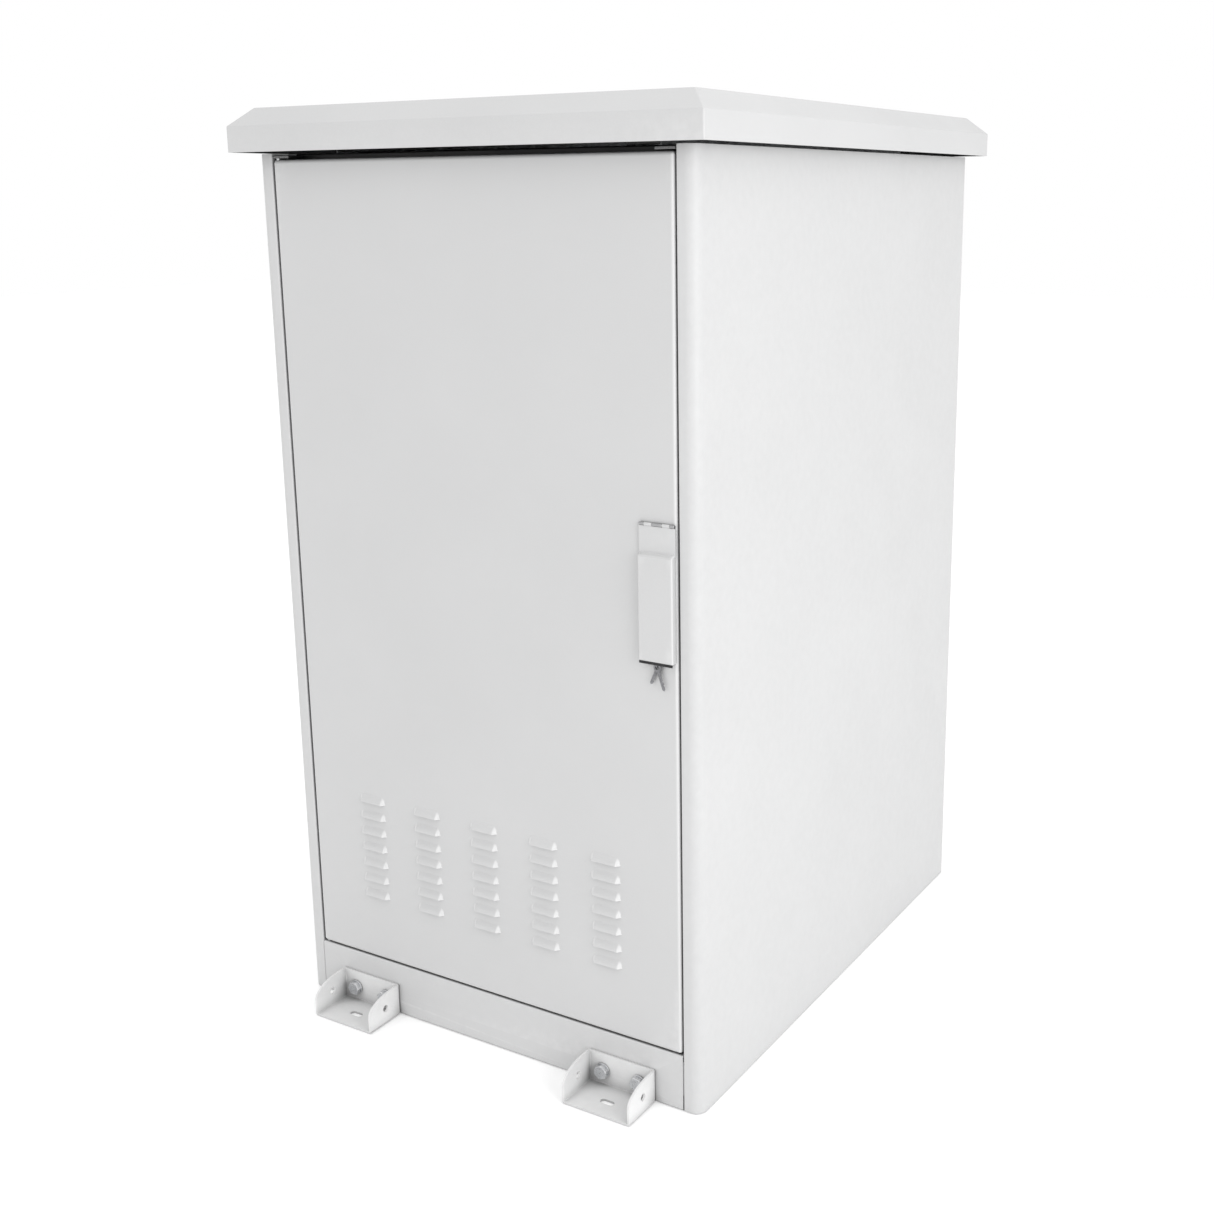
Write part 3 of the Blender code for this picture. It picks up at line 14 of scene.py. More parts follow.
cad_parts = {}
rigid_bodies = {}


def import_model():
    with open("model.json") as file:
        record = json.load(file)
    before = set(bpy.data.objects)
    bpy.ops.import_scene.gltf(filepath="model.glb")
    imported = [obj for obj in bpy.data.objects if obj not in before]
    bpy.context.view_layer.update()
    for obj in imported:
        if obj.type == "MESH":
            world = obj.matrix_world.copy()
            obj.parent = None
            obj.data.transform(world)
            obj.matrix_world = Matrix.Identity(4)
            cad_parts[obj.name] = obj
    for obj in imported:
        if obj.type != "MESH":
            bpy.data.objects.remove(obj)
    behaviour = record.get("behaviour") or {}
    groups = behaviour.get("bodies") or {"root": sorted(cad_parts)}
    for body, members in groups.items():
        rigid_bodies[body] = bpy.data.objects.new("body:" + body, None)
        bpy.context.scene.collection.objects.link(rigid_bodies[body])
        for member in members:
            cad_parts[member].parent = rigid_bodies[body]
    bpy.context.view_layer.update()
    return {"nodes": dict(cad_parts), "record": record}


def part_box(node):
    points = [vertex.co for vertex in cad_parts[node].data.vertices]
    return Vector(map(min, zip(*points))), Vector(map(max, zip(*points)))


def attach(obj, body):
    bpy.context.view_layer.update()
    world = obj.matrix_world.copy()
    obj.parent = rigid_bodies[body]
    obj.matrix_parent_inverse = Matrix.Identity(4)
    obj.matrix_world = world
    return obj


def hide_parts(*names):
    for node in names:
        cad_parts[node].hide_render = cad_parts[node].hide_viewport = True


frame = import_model()
SLOTS = {row["node"]: row["material_slot"] for row in frame["record"]["subparts"]}
BODY_OF = {node: body for body, nodes in frame["record"]["behaviour"]["bodies"].items() for node in nodes}


def middle_of(node):
    low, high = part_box(node)
    return (low + high) / 2


# Sheet work; OVERCUT is how far a cut passes the sheet, and FIT the gap between neighbours
SHEET = 0.0015
BEND = 0.0020
DOOR_BEND = 0.0045
INNER_BEND = 0.0006
CORNER = 0.015
DEBURR = 0.00025
OVERCUT = 0.005
FIT = 0.0003
SAME = 1e-7
SHARP_ANGLE = 38.0
JAMB_WIDTH = 0.025
FRONT_RETURN = 0.028
REAR_RETURN = 0.015
PIVOT_INSET = 0.005

# Holes: radii, and the gaps round a rod's slot
BOLT_HOLE = 0.0053
PIVOT_HOLE = 0.0028
PLINTH_PIVOT_HOLE = 0.0031
LOCK_HOLE = 0.0113
ROD_RADIUS = 0.005
ROD_GAP = 0.0009
DOOR_ROD_GAP = 0.0006

# Extents that several pieces share, read from the frame
DOOR_LOW, DOOR_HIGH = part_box("door_panel")
BODY_LOW, BODY_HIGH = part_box("right_side_panel")
PLINTH_LOW, PLINTH_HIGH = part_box("plinth_panel")
BACK_LOW, BACK_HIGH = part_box("back_panel")
FLAP_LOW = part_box("lock_flap")[0]
SIDE = BODY_HIGH.x
FRONT = BODY_LOW.y
BACK = BODY_HIGH.y
BODY_TOP = BODY_HIGH.z
JAMB = SIDE - JAMB_WIDTH
LANDING_X = BODY_LOW.x
LANDING_Y = FRONT + FRONT_RETURN
REAR_LANDING_Y = BACK - REAR_RETURN
DOOR_HALF = DOOR_HIGH.x
LOCK = middle_of("lock_housing")
LOCK.y = FRONT
PIVOT = Vector((-DOOR_HALF + PIVOT_INSET, FRONT + PIVOT_INSET))

# Louvres pressed out of the door, open at the lower edge
LOUVRE_COLUMNS = 5
LOUVRE_ROWS = 7
LOUVRE_PITCH_X = 0.095
LOUVRE_PITCH_Z = 0.023
LOUVRE_LOWEST = 0.170
LOUVRE_HALF = 0.022
LOUVRE_HEIGHT = 0.011
LOUVRE_PROUD = 0.005
LOUVRE_END = 0.006

# The lock flap's hinge, along X
HINGE = Vector((LOCK.x, FRONT - 0.0025, 0.743))
HINGE_PIN = 0.0009
HINGE_BORE = 0.0012
KNUCKLE = 0.0019
LEAF_TOP = 0.7408

# Bracket bolts: thickness of the washer and of the head
BOLT_WASHER = 0.002
BOLT_HEAD = 0.0064

# Holes of a 19 inch rack
RACK_UNIT = 0.04445
RACK_UNITS = 24
RACK_OFFSETS = (0.0, 0.015875, 0.03175)
RACK_HOLE_HALF = 0.00475

# The photograph's camera and soft lights
CAMERA_PLACE = (1.16394, -1.82163, 1.10684)
CAMERA_TURN = (-30.52, 12.994, 0.309)
CAMERA_LENS = 44.606
CAMERA_SHIFT = (-0.0755, -0.0517)
SOFTBOXES = (("top_softbox", (0.0, -0.4, 4.2), (0.0, 0.0, 0.0), 4.0, 22.0),
             ("side_softbox", (2.5, -1.2, 1.3), (0.3, -0.3, 0.6), 1.6, 23.0))
FLOOR_SIZE = 15.0
FLOOR_DROP = 0.0005

# Colours, linear
PAINT = (0.556, 0.557, 0.559)
# Painted light: the cabinet's paint made lighter on the brackets, offsetting the shade inside their folded
# box
BRACKET_PAINTED_LIGHT = (0.74, 0.74, 0.74)
WORN_PAINT = (0.68, 0.68, 0.68)
# Painted highlight: the paler tone laid on the upright folds of the door and the flap
FOLD_HIGHLIGHT = (0.90, 0.90, 0.90)
WORN_ZINC = (0.86, 0.86, 0.86)
GALVANISED = (0.60, 0.615, 0.625)
KEY_STEEL = (0.20, 0.20, 0.21)
WORN_KEY_STEEL = (0.45, 0.45, 0.46)
RUBBER = (0.018, 0.018, 0.019)
FOAM_WALL = (0.085, 0.085, 0.09)
FOAM_PORE_SHADE = (0.012, 0.012, 0.013)
COPPER = (0.90, 0.50, 0.34)
TARNISHED_COPPER = (0.42, 0.23, 0.15)
FLOOR_WHITE = (0.86, 0.86, 0.86)

# A shift, and the turns that put a piece made facing +Z on the cabinet's front or back
shifted = Matrix.Translation
FACE_FRONT = Matrix.Rotation(pi / 2, 4, "X")
FACE_BACK = Matrix.Rotation(pi, 4, "Z") @ FACE_FRONT


# ---- materials

class Look:
    """A node material whose textures are laid out in metres, in the piece's own coordinates."""

    def __init__(self, name, roughness, metallic=0.0):
        self.material = bpy.data.materials.new(name)
        self.material.use_nodes = True
        self.tree = self.material.node_tree
        self.shader = self.tree.nodes["Principled BSDF"]
        self.set(Roughness=roughness, Metallic=metallic)
        self.place = self.add("ShaderNodeTexCoord").outputs["Object"]

    def add(self, kind, inputs=None, **settings):
        node = self.tree.nodes.new(kind)
        for key, value in settings.items():
            setattr(node, key, value)
        for key, value in (inputs or {}).items():
            self.feed(node.inputs[key], value)
        return node

    def feed(self, socket, value):
        if isinstance(value, bpy.types.NodeSocket):
            self.tree.links.new(value, socket)
        else:
            socket.default_value = value

    def noise(self, scale, detail=2.0, stretch=None):
        """Noise with features about 1/scale metres across; stretch scales the axes apart."""
        place = self.place
        if stretch is not None:
            place = self.add("ShaderNodeMapping", {"Vector": place, "Scale": stretch}).outputs["Vector"]
        inputs = {"Vector": place, "Scale": scale, "Detail": detail}
        return self.add("ShaderNodeTexNoise", inputs).outputs["Fac"]

    def spread(self, value, low, high, start=0.3, end=0.7):
        """Maps a noise value from start..end onto low..high."""
        inputs = {"Value": value, "From Min": start, "From Max": end, "To Min": low, "To Max": high}
        return self.add("ShaderNodeMapRange", inputs).outputs["Result"]

    def vary(self, scale, detail, low, high):
        """Noise of that scale and detail, between low and high."""
        return self.spread(self.noise(scale, detail), low, high)

    def product(self, first, second):
        inputs = {0: first, 1: second}
        return self.add("ShaderNodeMath", inputs, operation="MULTIPLY").outputs[0]

    def tint(self, colour, factor):
        """The colour, brightened or darkened by a factor near 1."""
        return self.add("ShaderNodeVectorMath", {0: colour, "Scale": factor}, operation="SCALE").outputs[0]

    def blend(self, share, first, second):
        node = self.add("ShaderNodeMix", data_type="RGBA")
        self.feed(node.inputs["Factor"], share)
        for socket, value in zip((node.inputs[6], node.inputs[7]), (first, second)):
            self.feed(socket, value if isinstance(value, bpy.types.NodeSocket) else (*value, 1.0))
        return node.outputs[2]

    def bump(self, heights):
        """Adds up bumps, each a (height value, distance in metres)."""
        normal = None
        for height, distance in heights:
            inputs = {"Height": height, "Distance": distance}
            if normal is not None:
                inputs["Normal"] = normal
            normal = self.add("ShaderNodeBump", inputs).outputs["Normal"]
        self.feed(self.shader.inputs["Normal"], normal)

    def edges(self, start, end):
        """0 on flat ground, rising to 1 on the piece's outer edges."""
        pointed = self.add("ShaderNodeNewGeometry").outputs["Pointiness"]
        return self.spread(pointed, 0.0, 1.0, start, end)

    def upright_folds(self):
        """1 on bends about the piece's own Z axis, 0 on its flat faces."""
        normal = self.add("ShaderNodeTexCoord").outputs["Normal"]
        across = self.add("ShaderNodeSeparateXYZ", {"Vector": normal}).outputs["X"]
        size = self.add("ShaderNodeMath", {0: across}, operation="ABSOLUTE").outputs[0]
        return self.product(self.spread(size, 0.0, 1.0, 0.10, 0.50), self.spread(size, 1.0, 0.0, 0.85, 0.99))

    def painted_shade(self, reach, darkest, closed, open_share):
        """Painted shade: 1 in the open, falling to the darkest value in narrow gaps and deep corners, where
        an ambient occlusion node finds little open sky.

        The value is darkest where the share of open sky is closed, and 1 from open_share up."""
        share = self.add("ShaderNodeAmbientOcclusion", {"Distance": reach}, samples=6).outputs["AO"]
        return self.spread(share, darkest, 1.0, closed, open_share)

    def set(self, **values):
        for name, value in values.items():
            self.feed(self.shader.inputs[name.replace("_", " ")], value)
        return self.material


def powder_coat(name, colour, reach=0.022, darkest=0.12, closed=0.05, open_share=0.50, fold_highlight=0.0):
    """Light powder coat, with painted shade darkening it deep in its gaps; fold_highlight paints a paler
    highlight on its upright folds.
    """
    look = Look(name, 0.42)
    mottle = look.vary(5.0, 4.0, 0.985, 1.015)
    grain = look.vary(700.0, 3.0, 0.985, 1.015)
    base = look.tint(colour, look.product(mottle, grain))
    worn = look.product(look.edges(0.52, 0.62), look.vary(90.0, 4.0, 0.0, 0.5))
    shown = look.blend(worn, base, WORN_PAINT)
    if fold_highlight > 0.0:
        # Painted highlight: the upright folds are blended towards a paler tone
        shown = look.blend(look.product(look.upright_folds(), fold_highlight), shown, FOLD_HIGHLIGHT)
    # Painted shade: the colour darkens where the ambient occlusion share is low, in gaps and corners
    shaded = look.tint(shown, look.painted_shade(reach, darkest, closed, open_share))
    gloss = look.vary(9.0, 5.0, 0.36, 0.50)
    look.bump([(look.noise(1.7, 1.0), 0.0012), (look.noise(450.0, 2.0), 0.00006),
                 (look.noise(1500.0, 2.0), 0.00002)])
    return look.set(Base_Color=shaded, Roughness=gloss)


def galvanised():
    look = Look("galvanised_steel", 0.4, 0.85)
    cells = look.add("ShaderNodeTexVoronoi", {"Vector": look.place, "Scale": 85.0})
    shade = look.add("ShaderNodeSeparateColor", {"Color": cells.outputs["Color"]})
    spangle = look.spread(shade.outputs["Red"], 0.86, 1.10, 0.0, 1.0)
    cloud = look.vary(12.0, 2.0, 0.95, 1.05)
    colour = look.tint(GALVANISED, look.product(spangle, cloud))
    gloss = look.spread(shade.outputs["Green"], 0.32, 0.50, 0.0, 1.0)
    look.bump([(look.noise(260.0, 4.0), 0.00005)])
    return look.set(Base_Color=colour, Roughness=gloss)


def zinc_plate(name, colour, low, high):
    look = Look(name, 0.3, 1.0)
    cloud = look.vary(160.0, 4.0, 0.88, 1.06)
    worn = look.product(look.edges(0.52, 0.60), 0.5)
    # Painted shade: the zinc darkens by the ambient occlusion share in its hollows and where it meets other
    # parts, times a random cloud
    shade = look.product(cloud, look.painted_shade(0.012, 0.30, 0.10, 0.80))
    tone = look.blend(worn, look.tint(colour, shade), WORN_ZINC)
    gloss = look.spread(look.noise(420.0, 5.0), low, high)
    look.bump([(look.noise(900.0, 3.0), 0.00002)])
    return look.set(Base_Color=tone, Roughness=gloss)


def key_steel():
    look = Look("dark_plated_steel", 0.35, 0.9)
    tone = look.tint(KEY_STEEL, look.vary(350.0, 4.0, 0.7, 1.3))
    worn = look.product(look.edges(0.52, 0.60), 0.55)
    colour = look.blend(worn, tone, WORN_KEY_STEEL)
    look.bump([(look.noise(1400.0, 3.0), 0.00002)])
    return look.set(Base_Color=colour, Roughness=look.vary(500.0, 2.0, 0.28, 0.45))


def moulded_plastic(name, colour, low, high):
    look = Look(name, 0.5)
    tone = look.tint(colour, look.vary(30.0, 4.0, 0.92, 1.08))
    look.bump([(look.noise(1600.0, 3.0), 0.00006)])
    return look.set(Base_Color=tone, Roughness=look.spread(look.noise(60.0, 3.0), low, high))


def seal_rubber():
    look = Look("foamed_seal_rubber", 0.85)
    tone = look.tint(RUBBER, look.vary(240.0, 4.0, 0.75, 1.4))
    look.bump([(look.noise(1100.0, 3.0), 0.00010)])
    return look.set(Base_Color=tone, Roughness=look.vary(80.0, 2.0, 0.75, 0.92))


def filter_foam():
    look = Look("open_cell_foam", 0.95)
    cells = look.add("ShaderNodeTexVoronoi", {"Vector": look.place, "Scale": 650.0})
    depth = look.spread(cells.outputs["Distance"], 0.0, 1.0, 0.0, 0.6)
    # Painted shade: the foam darkens towards its pores, standing for the shade inside its holes
    colour = look.blend(depth, FOAM_WALL, FOAM_PORE_SHADE)
    walls = look.spread(cells.outputs["Distance"], 1.0, 0.0, 0.0, 0.6)
    look.bump([(walls, 0.0008)])
    return look.set(Base_Color=colour)


def copper():
    look = Look("bare_copper", 0.3, 1.0)
    tarnish = look.vary(45.0, 5.0, 0.0, 0.75)
    colour = look.blend(tarnish, COPPER, TARNISHED_COPPER)
    brushed = look.noise(1.0, 2.0, stretch=(25.0, 1600.0, 1600.0))
    look.bump([(brushed, 0.00004)])
    return look.set(Base_Color=colour, Roughness=look.spread(brushed, 0.26, 0.42))


def studio_floor():
    look = Look("pale_studio_floor", 0.8)
    tone = look.tint(FLOOR_WHITE, look.vary(3.0, 3.0, 0.995, 1.005))
    look.bump([(look.noise(120.0, 2.0), 0.0001)])
    return look.set(Base_Color=tone, Emission_Color=tone, Emission_Strength=0.26)


FINISHES = {
    "powder_coat": powder_coat("powder_coat_light_grey", PAINT),
    "galvanised_sheet": galvanised(),
    "zinc_fastener": zinc_plate("bright_zinc_plate", (0.66, 0.67, 0.69), 0.22, 0.38),
    "zinc_fitting": zinc_plate("satin_zinc_fitting", (0.56, 0.57, 0.59), 0.32, 0.48),
    "key_steel": key_steel(),
    "seal_rubber": seal_rubber(),
    "filter_foam": filter_foam(),
    "black_plastic": moulded_plastic("black_moulded_plastic", (0.020, 0.020, 0.022), 0.42, 0.58),
    "grey_plastic": moulded_plastic("grey_moulded_plastic", (0.27, 0.27, 0.28), 0.45, 0.60),
    "copper_bar": copper(),
}
# Dark zinc on the flap hinge, partly painted shade: its darkness stands for the shade in the gaps between the
# knuckles
HINGE_ZINC_PAINTED_SHADE = zinc_plate("dark_zinc_hinge_painted_shade", (0.16, 0.16, 0.17), 0.35, 0.50)
# The brackets' coat: the lighter paint above, as painted light, and painted shade in its deeper corners
BRACKET_COAT = powder_coat("powder_coat_brackets", BRACKET_PAINTED_LIGHT, 0.030, 0.15, 0.05, 0.70)
# The door's and the flap's coats paint a highlight on their upright folds; each coat's reach and darkest set
# its painted shade
DOOR_COAT = powder_coat("powder_coat_door", PAINT, 0.022, 0.12, 0.05, 0.62, 0.35)
FLAP_COAT = powder_coat("powder_coat_flap", PAINT, 0.004, 0.30, 0.05, 0.35, 0.15)
# Deep painted shade: the canopy's underside and the lintel turn nearly black in the gap above the door
DEEP_SHADE_COAT = powder_coat("powder_coat_deep_painted_shade", PAINT, 0.120, 0.02, 0.55, 0.90)


# ---- outlines

def spaced(low, high, count):
    return [low + (high - low) * index / count for index in range(count + 1)]


def fillet(points, radii, steps=6, closed=False):
    """The polyline with its corners rounded; an open line keeps its two ends."""
    rounded = []
    for index, radius in enumerate(radii):
        corner = Vector(points[index])
        if radius <= 0.0 or (not closed and index in (0, len(points) - 1)):
            rounded.append(corner)
            continue
        before = (Vector(points[index - 1]) - corner).normalized()
        after = (Vector(points[(index + 1) % len(points)]) - corner).normalized()
        half = before.angle(after) / 2
        centre = corner + (before + after).normalized() * (radius / sin(half))
        start = corner + before * (radius / tan(half)) - centre
        end = corner + after * (radius / tan(half)) - centre
        sweep = start.angle(end)
        for part in spaced(0.0, 1.0, steps):
            turned = start * sin((1 - part) * sweep) + end * sin(part * sweep)
            rounded.append(centre + turned / sin(sweep))
    return rounded


def circle(centre, radius, count=32):
    angles = spaced(0.0, 2 * pi, count)[:-1]
    return [(centre[0] + radius * cos(a), centre[1] + radius * sin(a)) for a in angles]


def rectangle(u0, u1, v0, v1, radius=0.0):
    corners = [(u0, v0), (u1, v0), (u1, v1), (u0, v1)]
    if radius == 0.0:
        return corners
    return fillet(corners, [radius] * 4, closed=True)


def stadium(centre, arm, radius, tilt=0.0, count=10):
    """A slot outline: two half circles whose centres lie arm away from the middle."""
    points = []
    for turn in (0.0, pi):
        end = Vector(centre) + arm * Vector((cos(tilt + turn), sin(tilt + turn)))
        for index in range(count + 1):
            angle = tilt + turn - pi / 2 + pi * index / count
            points.append((end.x + radius * cos(angle), end.y + radius * sin(angle)))
    return points


def along(axis, u, v, w):
    """A point at (u, v) across the named axis and w along it: (y, z), (x, z) or (x, y) across."""
    if axis == "X":
        return Vector((w, u, v))
    if axis == "Y":
        return Vector((u, w, v))
    return Vector((u, v, w))


# ---- meshes

def new_piece(name, data):
    obj = bpy.data.objects.new(name, data)
    bpy.context.scene.collection.objects.link(obj)
    return obj


def from_bmesh(bm):
    mesh = bpy.data.meshes.new("mesh")
    bm.to_mesh(mesh)
    bm.free()
    return mesh


def closed_mesh(bm):
    """The mesh of a closed solid, with its faces turned outwards."""
    bmesh.ops.recalc_face_normals(bm, faces=bm.faces)
    return from_bmesh(bm)


def apply_modifiers(obj):
    bpy.context.view_layer.update()
    evaluated = obj.evaluated_get(bpy.context.evaluated_depsgraph_get())
    mesh = bpy.data.meshes.new_from_object(evaluated)
    obj.modifiers.clear()
    obj.data = mesh
    return obj


def take_mesh(obj):
    """The object's mesh, without the object."""
    mesh = obj.data
    bpy.data.objects.remove(obj, do_unlink=True)
    return mesh


def thicken(obj, thickness=SHEET):
    """Grows the sheet inwards, behind its outer face."""
    sheet = obj.modifiers.new("sheet", "SOLIDIFY")
    sheet.thickness = thickness
    sheet.offset = -1.0
    sheet.use_even_offset = True
    return apply_modifiers(obj)


def soften(obj, width=DEBURR, steps=2, angle=40.0):
    """Rounds every edge sharper than the angle."""
    edge = obj.modifiers.new("edges", "BEVEL")
    edge.width = width
    edge.segments = steps
    edge.angle_limit = radians(angle)
    return apply_modifiers(obj)


def smooth(obj, angle):
    obj.data.shade_smooth()
    obj.data.set_sharp_from_angle(angle=radians(angle))
    weigh = obj.modifiers.new("normals", "WEIGHTED_NORMAL")
    weigh.keep_sharp = True
    return apply_modifiers(obj)


def carve(obj, *meshes, operation="DIFFERENCE"):
    for mesh in meshes:
        tool = new_piece(f"{obj.name}_tool", mesh)
        modifier = obj.modifiers.new("tool", "BOOLEAN")
        modifier.operation = operation
        modifier.solver = "EXACT"
        modifier.object = tool
        apply_modifiers(obj)
        bpy.data.objects.remove(tool, do_unlink=True)
    return obj


def pierce(obj, axis, outlines, level):
    """Cuts the outlines through the sheet that lies at that level of the axis."""
    carve(obj, prism(axis, outlines, level - OVERCUT, level + OVERCUT))


def join(obj, *meshes):
    """Adds loose meshes to the piece as they are."""
    bm = bmesh.new()
    bm.from_mesh(obj.data)
    for mesh in meshes:
        bm.from_mesh(mesh)
    obj.data = from_bmesh(bm)
    return obj


def moved(mesh, matrix):
    mesh.transform(matrix)
    return mesh


def extrude(bm, faces, move):
    grown = bmesh.ops.extrude_face_region(bm, geom=faces)
    raised = [item for item in grown["geom"] if isinstance(item, bmesh.types.BMVert)]
    bmesh.ops.translate(bm, verts=raised, vec=move)


def prism(axis, outlines, low, high):
    """Outlines across the axis, extruded along it from low to high."""
    bm = bmesh.new()
    for outline in outlines:
        face = bm.faces.new([bm.verts.new(along(axis, u, v, low)) for u, v in outline])
        extrude(bm, [face], along(axis, 0.0, 0.0, high - low))
    return closed_mesh(bm)


def block(low, high):
    (x0, y0, z0), (x1, y1, z1) = low, high
    return prism("Z", [rectangle(x0, x1, y0, y1)], z0, z1)


def strip(name, axis, path, levels, missing=None, thickness=SHEET):
    """Sheet bent along a path across the axis, grown to the path's left.

    levels are the lines across it, and missing says which cells (path step, level step) are open."""
    bm = bmesh.new()
    rows = [[bm.verts.new(along(axis, u, v, w)) for u, v in path] for w in levels]
    for level in range(len(levels) - 1):
        for step in range(len(path) - 1):
            if missing is None or not missing(step, level):
                low, high = rows[level], rows[level + 1]
                bm.faces.new((low[step], low[step + 1], high[step + 1], high[step]))
    bmesh.ops.delete(bm, geom=[vert for vert in bm.verts if not vert.link_faces], context="VERTS")
    return thicken(new_piece(name, from_bmesh(bm)), thickness)


def pan_face(bm, xs, ys, height, slits):
    """A pan's face; gives its vertices by grid cell."""
    flat, raised = {}, {}
    for j, y in enumerate(ys):
        cuts = [(x0, x1) for x0, x1, slit_y in slits if abs(slit_y - y) < SAME]
        for i, x in enumerate(xs):
            cut_here = any(x0 + SAME < x < x1 - SAME for x0, x1 in cuts)
            flat[i, j] = bm.verts.new((x, y, 0.0 if cut_here else height(x, y)))
            raised[i, j] = bm.verts.new((x, y, height(x, y))) if cut_here else flat[i, j]
    for i in range(len(xs) - 1):
        for j in range(len(ys) - 1):
            bm.faces.new((raised[i, j], raised[i + 1, j], flat[i + 1, j + 1], flat[i, j + 1]))
    return flat


def pan_rim(last_i, last_j, steps=6):
    """The rim in turn: (grid cell, outward angle, whether it goes round a corner)."""
    rims = (
        ([(i, 0) for i in range(last_i + 1)], -pi / 2),
        ([(last_i, j) for j in range(last_j + 1)], 0.0),
        ([(i, last_j) for i in range(last_i, -1, -1)], pi / 2),
        ([(0, j) for j in range(last_j, -1, -1)], pi),
    )
    sites = []
    for cells, angle in rims:
        sites += [(cell, angle, False) for cell in cells[1:-1]]
        sites += [(cells[-1], angle + turn, True) for turn in spaced(0.0, pi / 2, steps)]
    return sites


def pushed_out(place, angle, on_corner, outward, corner):
    """Where a rim point of a pan centred on the origin goes, that far outwards."""
    normal = Vector((cos(angle), sin(angle)))
    if not on_corner:
        return place + normal * outward
    radius = max(0.0, min(outward, corner))
    square = Vector((copysign(1.0, place.x), copysign(1.0, place.y)))
    return place + square * (outward - radius) + normal * radius


def pan(name, xs, ys, profile, corner, lift=None, slits=(), thickness=SHEET):
    """A sheet pan facing +Z: a flat grid of xs by ys, with sides that follow the profile.

    The profile's points are (outwards from the grid's rim, down from its face). lift(x, y) raises the
    face, and a slit is (x0, x1, y): the face is cut there and only its upper side is raised."""
    bm = bmesh.new()
    flat = pan_face(bm, xs, ys, lift or (lambda x, y: 0.0), slits)
    sites = pan_rim(len(xs) - 1, len(ys) - 1)
    ring = [flat[cell] for cell, angle, on_corner in sites]
    for outward, down in profile[1:]:
        following = []
        for cell, angle, on_corner in sites:
            place = pushed_out(flat[cell].co.xy, angle, on_corner, outward, corner)
            following.append(bm.verts.new((place.x, place.y, -down)))
        for index in range(len(sites)):
            after = (index + 1) % len(sites)
            corners = [ring[index], following[index], following[after], ring[after]]
            if corners[0] is corners[3]:
                corners.pop()
            bm.faces.new(corners)
        ring = following
    bmesh.ops.remove_doubles(bm, verts=bm.verts, dist=SAME)
    bmesh.ops.dissolve_degenerate(bm, edges=bm.edges, dist=SAME)
    return thicken(new_piece(name, from_bmesh(bm)), thickness)


def skin(bm, rings, closed=False):
    """Faces between neighbouring rings of vertices; a ring may be a single point."""
    count = max(len(ring) for ring in rings)
    pairs = list(zip(rings, rings[1:]))
    if closed:
        pairs.append((rings[-1], rings[0]))
    for lower, upper in pairs:
        for index in range(count):
            corners = [lower[index % len(lower)], lower[(index + 1) % len(lower)],
                       upper[(index + 1) % len(upper)], upper[index % len(upper)]]
            unique = list(dict.fromkeys(corners))
            if len(unique) > 2:
                bm.faces.new(unique)


def lathe(profile, steps=48):
    """A closed solid: (radius, height) points from the axis round to the axis, turned about Z."""
    bm = bmesh.new()
    rings = []
    for radius, height in profile:
        spots = circle((0.0, 0.0), radius, steps) if radius >= SAME else [(0.0, 0.0)]
        rings.append([bm.verts.new((u, v, height)) for u, v in spots])
    skin(bm, rings, closed=len(rings[0]) > 1)
    return closed_mesh(bm)


def plate(axis, outline, holes, low, high, edge=0.0002):
    """A flat plate across the axis with rounded edges, from an outline and its holes."""
    bm = bmesh.new()
    edges = []
    for points in (outline, *holes):
        verts = [bm.verts.new(along(axis, u, v, low)) for u, v in points]
        edges += [bm.edges.new((verts[i - 1], verts[i])) for i in range(len(verts))]
    bmesh.ops.triangle_fill(bm, use_beauty=True, edges=edges)
    extrude(bm, list(bm.faces), along(axis, 0.0, 0.0, high - low))
    return take_mesh(soften(new_piece("plate_work", closed_mesh(bm)), edge, angle=50.0))


def shade(obj, material, angle=SHARP_ANGLE):
    smooth(obj, angle)
    obj.data.materials.clear()
    obj.data.materials.append(material)


def finish_piece(obj, *nodes, coat=None, angle=SHARP_ANGLE):
    """Shades the piece, gives it its nodes' finish and body, and lets it stand for them.

    Quaternions keep a body's turn exact where joints add up to a right angle."""
    shade(obj, coat or FINISHES[SLOTS[nodes[0]]], angle)
    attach(obj, BODY_OF[nodes[0]])
    obj.parent.rotation_mode = "QUATERNION"
    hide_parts(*nodes)


def finish_extra(obj, slot, body):
    """The same for a detail that stands for no CAD node."""
    shade(obj, FINISHES[slot])
    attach(obj, body)


def refine(node, width):
    """A carried-over CAD shape with its edges rounded."""
    bm = bmesh.new()
    bm.from_mesh(frame["nodes"][node].data)
    bmesh.ops.remove_doubles(bm, verts=bm.verts, dist=1e-5)
    bmesh.ops.dissolve_limit(bm, angle_limit=radians(1.0), verts=bm.verts, edges=bm.edges)
    obj = new_piece(f"{node}_finished", closed_mesh(bm))
    normals = obj.data.attributes.get("custom_normal")
    if normals is not None:
        obj.data.attributes.remove(normals)
    finish_piece(soften(obj, width), node)


# ---- enclosure

def make_side_panels():
    points = [(LANDING_X, LANDING_Y), (JAMB, LANDING_Y), (JAMB, FRONT), (SIDE, FRONT),
              (SIDE, BACK), (JAMB, BACK), (JAMB, REAR_LANDING_Y), (LANDING_X, REAR_LANDING_Y)]
    radii = [0.0, INNER_BEND, BEND, CORNER, BEND, BEND, INNER_BEND, 0.0]
    path = fillet(points, radii, steps=8)
    mirrored = [(-x, y) for x, y in reversed(path)]
    for name, node, line in (("side_wall_right", "right_side_panel", path),
                             ("side_wall_left", "left_side_panel", mirrored)):
        panel = strip(name, "Z", line, [0.0, BODY_TOP])
        finish_piece(soften(panel), node)


